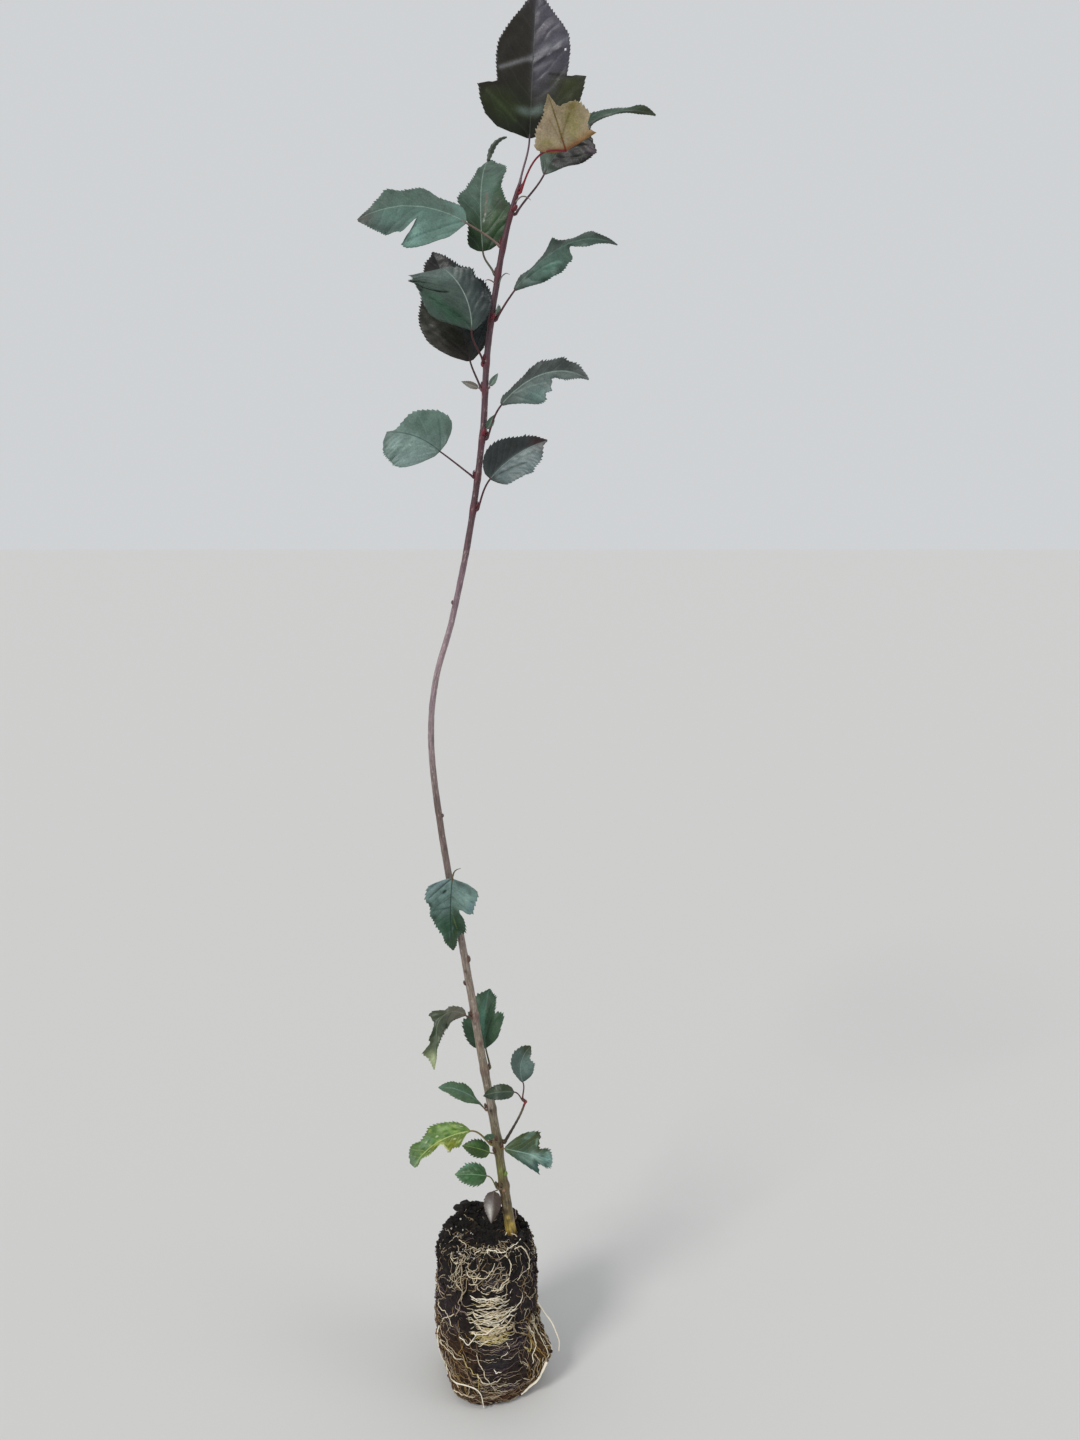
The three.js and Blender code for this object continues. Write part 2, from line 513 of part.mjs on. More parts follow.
function leafGeometry(leaf) {
  const stations = midrib(leaf);
  const course = stalkCourse(leaf, stations);
  const radii = course.map((_, i) => STALK_RADIUS * (1 - (0.25 * i) / (course.length - 1)));
  const stalk = solidFrom(tube(course, radii, STALK_SIDES));
  const blade = solidFrom(bladeGeometry(leaf, stations));
  const solid = blade.add(stalk);
  return geometryFromSolid(leaf.spur ? solid.add(spurSolid(leaf.spur, stations)) : solid);
}

function shootGeometry() {
  const node = stemPoint(SHOOT.node);
  const knee = new THREE.Vector3(...SHOOT.knee);
  const tip = new THREE.Vector3(...SHOOT.tip);
  const out = new THREE.Vector3(1, 0, 0);
  const start = node.clone().addScaledVector(out, stemRadius(SHOOT.node) + CLEARANCE);
  const shoulder = start.clone().addScaledVector(out, STALK_SHOULDER);
  const curve = new THREE.CatmullRomCurve3([shoulder, knee, tip]);
  const course = [start, ...curve.getPoints(7)];
  const radii = course.map(() => SHOOT.radius);
  radii[radii.length - 1] = SHOOT.budRadius;
  return tube(course, radii, STALK_SIDES);
}

// Outer surface of the root ball, with low lumps and its bulges.
function ballRadius(azimuth, height) {
  const lumps = Math.sin(3 * azimuth + 0.11 * height) + Math.sin(5 * azimuth - 0.17 * height + 1.3)
    + Math.sin(8 * azimuth + 0.29 * height + 2.1);
  let radius = between(BALL_PROFILE, height) + (BALL_LUMP * lumps) / 3;
  for (const { middle, level, reach, spread, rise } of BULGES) {
    const turn = THREE.MathUtils.euclideanModulo(azimuth - radians(middle) + Math.PI, 2 * Math.PI);
    const beside = (turn - Math.PI) / radians(spread);
    radius += reach * Math.exp(-(beside ** 2) - ((height - level) / rise) ** 2);
  }
  return radius;
}

function ballTop(azimuth, share) {
  const lumps = Math.sin(2 * azimuth + 0.6 + 3 * share) + Math.sin(5 * azimuth + 4 * share);
  const crown = BALL_CROWN.rise * share * Math.cos(azimuth - radians(BALL_CROWN.azimuth));
  return BALL_HEIGHT + (BALL_TOP_LUMP * share * lumps) / 2 + crown;
}

function ballRing(radiusAt, heightAt) {
  const ring = [];
  for (let k = 0; k < BALL_SIDES; k += 1) {
    const azimuth = (2 * Math.PI * k) / BALL_SIDES;
    const radius = radiusAt(azimuth);
    ring.push(new THREE.Vector3(radius * Math.cos(azimuth), radius * Math.sin(azimuth), heightAt(azimuth)));
  }
  return ring;
}

function ballGeometry() {
  const points = [];
  for (const height of BALL_LEVELS) {
    points.push(...ballRing((azimuth) => ballRadius(azimuth, height), () => height));
  }
  for (const share of BALL_TOP_RINGS) {
    const radiusAt = (azimuth) => share * ballRadius(azimuth, BALL_HEIGHT);
    points.push(...ballRing(radiusAt, (azimuth) => ballTop(azimuth, share)));
  }
  const rings = BALL_LEVELS.length + BALL_TOP_RINGS.length;
  const foot = points.push(new THREE.Vector3(0, 0, 0)) - 1;
  const crown = points.push(new THREE.Vector3(0, 0, BALL_HEIGHT)) - 1;
  const triangles = [];
  for (let k = 0; k < BALL_SIDES; k += 1) {
    const next = (k + 1) % BALL_SIDES;
    for (let i = 0; i < rings - 1; i += 1) {
      const a = i * BALL_SIDES + k;
      const b = i * BALL_SIDES + next;
      triangles.push(a, b, b + BALL_SIDES, a, b + BALL_SIDES, a + BALL_SIDES);
    }
    triangles.push(foot, next, k);
    triangles.push(crown, (rings - 1) * BALL_SIDES + k, (rings - 1) * BALL_SIDES + next);
  }
  return geometryFrom(points, triangles);
}

// Root ball with a socket that the foot of the stem stands in.
function rootBallGeometry() {
  const buried = stemHeights().filter((height) => height > STEM_FOOT && height < SOCKET_TOP);
  const heights = [STEM_FOOT - CLEARANCE, ...buried];
  const radii = heights.map((height) => stemRadius(height) + CLEARANCE);
  const socket = tube(heights.map(stemPoint), radii, STEM_SIDES);
  return geometryFromSolid(solidFrom(ballGeometry()).subtract(solidFrom(socket)));
}

function looseRootGeometry(root) {
  const course = root.course.map(([degrees, height, standOff]) => {
    const azimuth = radians(degrees);
    const radius = ballRadius(azimuth, height) + root.radius + CLEARANCE + standOff;
    return new THREE.Vector3(radius * Math.cos(azimuth), radius * Math.sin(azimuth), height);
  });
  const points = new THREE.CatmullRomCurve3(course).getPoints(ROOT_STEPS * (course.length - 1));
  return tube(points, points.map(() => root.radius), ROOT_SIDES);
}

const plant = new THREE.Group();

function addPiece(name, geometry, colour, roughness) {
  const material = new THREE.MeshStandardMaterial({ color: colour, roughness, metalness: 0 });
  const piece = new THREE.Mesh(geometry, material);
  piece.name = name;
  plant.add(piece);
}

addPiece("root_ball", rootBallGeometry(), "#4a3a2a", 0.95);
for (const root of LOOSE_ROOTS) addPiece(root.name, looseRootGeometry(root), "#b99a6b", 0.8);
addPiece("stem", stemGeometry(), "#6e5048", 0.6);
addPiece("side_shoot", shootGeometry(), "#4a3a30", 0.6);
for (const leaf of LEAVES) addPiece(leaf.name, leafGeometry(leaf), leaf.colour, 0.45);

export default plant;
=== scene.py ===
"""Looks of a crab apple plug plant: finer leaves, bark, root ball and roots, grown by the part's own rules.

The plant's sizes are in millimetres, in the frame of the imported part: +Z up, -Y to the front.
"""
import json
import math
from itertools import combinations

import bpy
import numpy as np
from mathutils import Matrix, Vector


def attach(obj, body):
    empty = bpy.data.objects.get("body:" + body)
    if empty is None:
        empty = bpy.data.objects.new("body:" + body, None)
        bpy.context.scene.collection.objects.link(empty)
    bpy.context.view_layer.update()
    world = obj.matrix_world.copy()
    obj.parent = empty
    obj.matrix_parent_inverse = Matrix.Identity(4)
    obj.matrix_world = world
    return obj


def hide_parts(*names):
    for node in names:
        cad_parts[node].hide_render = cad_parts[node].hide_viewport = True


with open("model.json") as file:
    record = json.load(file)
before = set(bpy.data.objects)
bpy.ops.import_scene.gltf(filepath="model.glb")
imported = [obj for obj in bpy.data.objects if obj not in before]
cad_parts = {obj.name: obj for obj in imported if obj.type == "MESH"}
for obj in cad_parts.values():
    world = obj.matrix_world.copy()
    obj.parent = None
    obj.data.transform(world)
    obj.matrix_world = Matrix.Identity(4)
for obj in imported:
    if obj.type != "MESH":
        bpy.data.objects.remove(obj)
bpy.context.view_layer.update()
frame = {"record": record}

MM = 0.001
FULL_TURN = 2 * math.pi
UPWARD = np.array([0.0, 0.0, 1.0])
FRONT = np.array([0.0, -1.0, 0.0])
SIDEWAYS = np.array([1.0, 0.0, 0.0])

# Random ripples: how far the sizes of their waves vary, and their height
RIPPLE_SPREAD = (0.7, 1.6)
RIPPLE_HEIGHT = 0.65

# Stem: sideways place and width by height
STEM_FOOT = 82
STEM_TIP = 706
STEM_COURSE = [
    (82, 18.0), (97, 15.6), (132, 10.7), (172, 5.4), (221, -2.7), (278, -11.4), (337, -21.4), (391, -28.1),
    (420, -28.6), (446, -25.0), (477, -16.0), (527, -5.3), (581, 2.4), (620, 4.9), (661, 11.1), (684, 16.0),
    (706, 22.6),
]
STEM_WIDTH = [
    (82, 7.4), (97, 6.8), (115, 6.2), (145, 5.5), (215, 4.9), (270, 4.4), (350, 3.9), (420, 3.4),
    (475, 3.3), (540, 3.5), (620, 3.4), (670, 3.2), (690, 2.9), (698, 2.6), (706, 1.7),
]
STEM_RING_STEP = 0.8
# Just past the tip, so that the rings reach it
PAST_TIP = 0.1
STEM_SIDES = 48
NODE_SWELLING = 0.14
NODE_SPREAD = 3
STEM_UV_COLUMNS = 8
STEM_MAP_LEFT = 0.04
STEM_MAP_WIDTH = 0.92
STEM_MAP_LOW = 0.02
STEM_MAP_HEIGHT = 0.94
STEM_CAP_PLACE = 0.99
STEM_TIP_TAPER = [(STEM_TIP - 3, 1), (STEM_TIP, 0.75)]
# Azimuth where the stem's rings of points start
RING_START = 90

# Bark relief: seed, height and size of its ripples, which are drawn out along the stem, and its lenticels
STEM_RIDGES = [(11, 0.07, 1.4), (12, 0.05, 0.7)]
STEM_KNOBS = [(13, 0.05, 2.2)]
RIDGE_DRAW = 0.06
KNOB_DRAW = 8
LENTICELS = {
    "seed": 14, "count": 420, "heights": (100, 640), "window": 3, "height": 0.55, "width": 0.32,
    "rise": 0.13, "paleness": 0.55, "strengths": (0.5, 1),
}
# Painted shade and light on the bark's relief: darker where it is sunk, lighter where it stands out
STEM_RELIEF_SHADE = 0.9
STEM_GRAIN_RADIUS = 2

# Bark colours by height; the darker stations from 660 mm up are partly painted shadow of the leaves around
# the tip
STEM_COLOURS = [
    (82, "#3d2f1c"), (97, "#5f4a24"), (101, "#a48c3c"), (106, "#7c6b3a"), (114, "#625534"),
    (122, "#615339"), (130, "#6a5a38"), (138, "#6a6a36"), (146, "#716c42"), (156, "#6c6845"),
    (168, "#746a56"), (184, "#7e7464"), (200, "#736858"), (215, "#7f7363"), (240, "#86786d"),
    (262, "#817468"), (290, "#786a63"), (320, "#71625c"), (350, "#6d5c57"), (368, "#64534d"),
    (386, "#7d6d6b"), (400, "#89777a"), (430, "#8f7c82"), (460, "#917b82"), (480, "#857078"),
    (505, "#735b65"), (520, "#5a4047"), (548, "#4f363c"), (575, "#573c44"), (604, "#50383f"),
    (632, "#503740"), (660, "#4a2f38"), (690, "#45222c"), (706, "#4c1f2a"),
]
# Tinge round the nodes, and how strong the pale flecks are, by height
STEM_NODE_COLOURS = [
    (82, "#5e5134"), (160, "#5d5036"), (200, "#5c4236"), (400, "#6a4349"), (560, "#5a1c2a"),
    (706, "#561824"),
]
STEM_NODE_TINGE = 0.6
NODE_TINGE_REACH = 3.5
STEM_FLECKS = [(82, 0.5), (130, 0.8), (300, 1.0), (480, 1.0), (520, 0.35), (706, 0.1)]
# Spots: height, azimuth, size, colour and strength
STEM_SPOTS = [
    (180.2, 258, 1.0, "#241a16", 0.95), (127.5, 272, 0.9, "#b08476", 0.8), (223, 295, 1.6, "#6a3c36", 0.6),
    (269, 245, 1.2, "#352823", 0.7), (158, 305, 1.4, "#2f2a1c", 0.6), (113, 245, 2.2, "#2f2617", 0.8),
    (104, 300, 1.4, "#d0b04c", 0.8), (119, 290, 1.3, "#3b3120", 0.7), (109, 268, 1.2, "#c2a34a", 0.6),
    (187, 285, 1.1, "#b3aa98", 0.6), (196, 262, 1.3, "#a89f8c", 0.5), (141, 262, 1.6, "#7d8a3c", 0.6),
    (236, 262, 1.0, "#3a2d27", 0.6), (344, 275, 1.1, "#3d3029", 0.5), (470, 262, 1.0, "#b7a3a8", 0.6),
]
PALE_DOT = "#c3b3a6"

# Buds: height, azimuth, length, radius and colour. Each node has one too, above its stalk.
NODE_BUD = {"length": 3.2, "radius": 0.4, "swelling": 0.22, "above": 1.3}
BUD_COLOURS = [(82, "#4c3f2a"), (200, "#513529"), (400, "#5a2c33"), (560, "#561821"), (706, "#581720")]
BUDS = [
    (274.5, 340, 4.4, 1.0, "#5a4238"), (260, 195, 3.0, 0.9, "#4e3a30"), (137, 318, 3.4, 1.2, "#66803a"),
    (693, 300, 3.4, 1.1, "#641824"), (638.5, 290, 3.2, 1.1, "#701a28"), (578, 285, 3.6, 1.1, "#701c2a"),
    (614, 200, 3.0, 0.9, "#6a1e2c"), (702, 20, 3.2, 0.8, "#7a2432"), (486, 190, 2.2, 0.8, "#6a4a50"),
    (363, 350, 2.0, 0.8, "#54403a"),
]
# Course of a bud as (radii out, share of the length), and its radii by share of the way
BUD_COURSE = [(0, 0), (0.8, 0.25), (1.2, 0.65), (0.9, 1)]
BUD_TAPER = [(0, 0.8), (0.2, 1), (0.45, 0.92), (0.75, 0.55), (0.92, 0.25), (1, 0.06)]
BUD_STEPS = 14
BUD_SIDES = 12
# Left, low, right and high side of a bud's strip of the map
BUD_STRIP = (0.02, 0.1, 0.98, 0.9)
# How far buds and the side shoot are sunk in the bark
BARK_SUNK = 0.4
# Dead stalks and bracts at the nodes: courses of points, radius and colour
BRACTS = [
    ([(9.4, -1, 656.5), (7.6, -2, 657.6), (5.6, -2.5, 658), (4.1, -2.5, 657.2)], 0.34, "#7a5a58"),
    ([(11.6, -1, 656), (13, -2, 659.4), (15.4, -2.5, 661.2), (17.4, -2.5, 660.6)], 0.36, "#6c6a66"),
    ([(20.2, -0.6, 697), (23.5, -1.5, 699.6), (26.4, -2, 699.4), (28.7, -2, 697.8)], 0.4, "#77706a"),
    ([(20.6, 0.5, 700), (23, -0.5, 704), (25.2, -1, 708.2)], 0.34, "#8c5a5c"),
    ([(9.2, -1, 640), (10.4, -2, 642.4), (11.3, -2, 645.6)], 0.62, "#6c7a6e"),
]
BRACT_TAPER = [(0, 1.4), (0.15, 1), (0.6, 0.9), (1, 0.25)]
BRACT_STEPS = 16
BRACT_SIDES = 8

# Stalks, which run on under the blades as their midribs
STALK_RADIUS = 0.62
STALK_END_RADIUS = 0.5
STALK_STEPS = 26
STALK_SIDES = 10
STALK_ROOT_SWELLING = 0.5
STALK_ROOT_RINGS = 6
STALK_SUNK = 0.5
TIP_STALK_SUNK = 1.2
CAD_CLEARANCE = 0.35
# How far a stalk's shoulder is from its start, as shares of it outwards and along the stem
STALK_SHOULDER = 0.9
SHOULDER_OUT = 0.7
SHOULDER_UP = 0.6
# Shares of the stalk's reach that its two ends hold on to their directions
STALK_LEAVING = 0.3
STALK_ARRIVING = 0.35
# Size of the stalk: of a very small leaf, and the leaf's length that adds as much again as a whole one
SMALL_STALK = 0.45
STALK_FULL_LENGTH = 70
RIB_RADII = [(0, STALK_END_RADIUS), (0.1, 0.42), (1, 0.09)]
RIB_END = 0.97
RIB_STEPS = 40
RIB_SUNK = 0.16
RIB_SUNK_PER_RADIUS = 0.45
RIB_SUNK_FROM = 0.04
RIB_TINT_RATE = 3
STALK_TONES = (1.1, 0.9)
SPUR_TAPER = [(0, 0.5), (0.35, 1), (0.6, 0.75), (1, 0.3)]
SPUR_STEPS = 24
SPUR_SIDES = 8
SPUR_ROOT = 2.5
SPUR_KNOTS = 0.15
SPUR_KNOT_RATE = 1.9

# Blades: grid, margin and teeth
BLADE_THICKNESS = 0.36
MARGIN_THINNING = 0.55
MARGIN_STEEPNESS = 4
NORMAL_LEAN = 0.02
MIDRIB_STEPS = 40
LEAF_COLUMNS = 41
SHORT_LEAF_COLUMNS = 21
LONG_LEAF = 25
LEAST_HALF_WIDTH = 0.015
SWEEP_AT_BASE = 0.3
SWEEP_RISE = 2.4
TOOTH_SPACING = 2.0
FEWEST_TEETH = 8
MARGIN_PER_LENGTH = 1.05
TOOTH_DEPTH = 0.75
TOOTH_SIZES = (0.45, 1.15)
TOOTH_PROFILE = [(0, 0), (0.42, 0.5), (0.78, 1), (0.93, 0.25), (1, 0)]
TOOTH_STEPS = [place for place, _ in TOOTH_PROFILE[:-1]]
TOOTH_FULL_WIDTH = 5
TOOTH_STEEPNESS = 6
TOOTH_LEAN = 0.5

# Blades: fold, waves, side veins, creases and unevenness, with ripples by seed, strength and size
FOLD_ROUNDING = 0.8
BLADE_CUPPING = 0.0035
WAVES_PER_SIDE = 2.4
WAVE_FULL_LENGTH = 45
WAVE_STEEPNESS = 2.2
SMALL_WAVE = 0.5
SMALL_WAVE_RATE = 2.3
WAVE_SPAN = (0.02, 0.98)
WAVE_SWELL = 0.6
VEINS_PER_SIDE = 8.5
VEIN_STAGGER = 0.22
VEIN_STAGGER_WIDTH = 4
VEIN_SLANT = 0.95
VEIN_BOW = 0.008
VEIN_REACH = 1.1
VEIN_RELIEF = 0.24
VEIN_FULL_LENGTH = 40
VEIN_LEAST_WIDTH = 2.5
VEIN_CREST = 0.5
# Strength of the side veins, how much it varies, and what mixes it up from vein to vein and side to side
VEIN_STRENGTH = 0.6
VEIN_UNEVENNESS = 0.4
VEIN_MIX = 12.99
SIDE_MIX = 4.1
# Where furrows, side veins and midribs fade out
FURROW_FADING = dict(end=1, rate=5)
VEIN_OUT_FADING = dict(end=1.06, rate=3)
VEIN_TIP_FADING = dict(end=1.02, rate=5, least=0.1)
MIDRIB_FADING = dict(end=1.1, rate=2.5, least=0.2)
VEIN_RIPPLES = [(2, 0.2, 16.0)]
BLADE_RIPPLES = [(1, 0.22, 9.0)]
CREASE_SPREAD = 1.4

# Blades: colours, and places on the map
LEAF_SHEEN = 0.018
LEAST_TINT = 0.35
MIDDLE_BLEND = 0.24
BASE_BLEND = 1.4
TIP_BLEND = 0.9
TIP_BY_SHARE = [(0.72, 0), (0.94, 1)]
UNDER_VEIN_LIGHTNESS = 1.35
UNDER_TIP_FROM = 0.6
UNDER_TIP_SPAN = 0.3
UNDER_BASE_REACH = 0.12
MOTTLING = [(0, 0.1, 12.0), (1, 0.07, 4.0)]
SPECKLE_WIDTH = 2.4
SPECKLE_SEED = 7
SPECKLE_SPAN = ((0.05, -0.95), (0.95, 0.95))
FACE_MAP_SIZE = (0.46, 0.78)
UPPER_MAP_PLACE = (0.02, 0.02)
LOWER_MAP_PLACE = (0.52, 0.02)
WALL_MAP_LEFT = 0.02
WALL_MAP_WIDTH = 0.96
WALL_MAP_LEVELS = (0.81, 0.81, 0.84, 0.84)
STALK_MAP = (0.02, 0.86, 0.98, 0.92)
SPUR_MAP = (0.02, 0.94, 0.4, 0.98)

# Half widths of an entire and of a lobed leaf by share of its length
ENTIRE_SIDE = [
    (0, 0.05), (0.02, 0.3), (0.05, 0.55), (0.12, 0.8), (0.2, 0.93), (0.29, 1), (0.4, 0.98), (0.5, 0.9),
    (0.6, 0.78), (0.71, 0.6), (0.82, 0.4), (0.91, 0.2), (1, 0.02),
]
LOBED_SIDE = [
    (0, 0.05), (0.02, 0.29), (0.05, 0.62), (0.12, 0.85), (0.2, 0.95), (0.29, 1), (0.325, 0.6), (0.4, 0.63),
    (0.5, 0.66), (0.6, 0.62), (0.71, 0.45), (0.82, 0.27), (0.91, 0.14), (1, 0.02),
]
SHOOT = {
    "node": 158, "knee": (21, -2, 176), "tip": (25, -3, 187), "radius": 0.85, "bud_radius": 1.3,
    "steps": 40, "sides": 14, "knots": 0.08, "knot_rate": 60,
}
SHOOT_TAPER = [(0, 1.7), (0.08, 1.15), (0.4, 0.85), (0.9, 0.8), (0.97, 1.35), (1, 0.7)]
SHOOT_COLOURS = [
    (0, "#4a3d2c"), (0.15, "#332b20"), (0.45, "#3d3529"), (0.65, "#5c5342"), (0.88, "#5c3a32"),
    (0.95, "#8a2a2c"), (1, "#7a2228"),
]

# What holds for each leaf that doesn't say otherwise. base is the foot of its blade. heading, toward and
# roll turn it, in degrees. droop and curve bend it, up to bend_end. sweep and skew draw its sides ahead.
# rise, bow and arrive lead its stalk. base_reach is the share of its base colour, and teeth scales the
# depth of its teeth.
LEAF = dict(
    roll=0, curve=0, bend_end=1, sweep=0.3, skew=0, rise=0.06, bow=0, base_reach=0.2, teeth=1, veins=0.2,
    midrib=0.6, patches=(), lines=(), speckles=(), holes=())
# Roll of a leaf that shows its underside
FACE_AWAY = 180
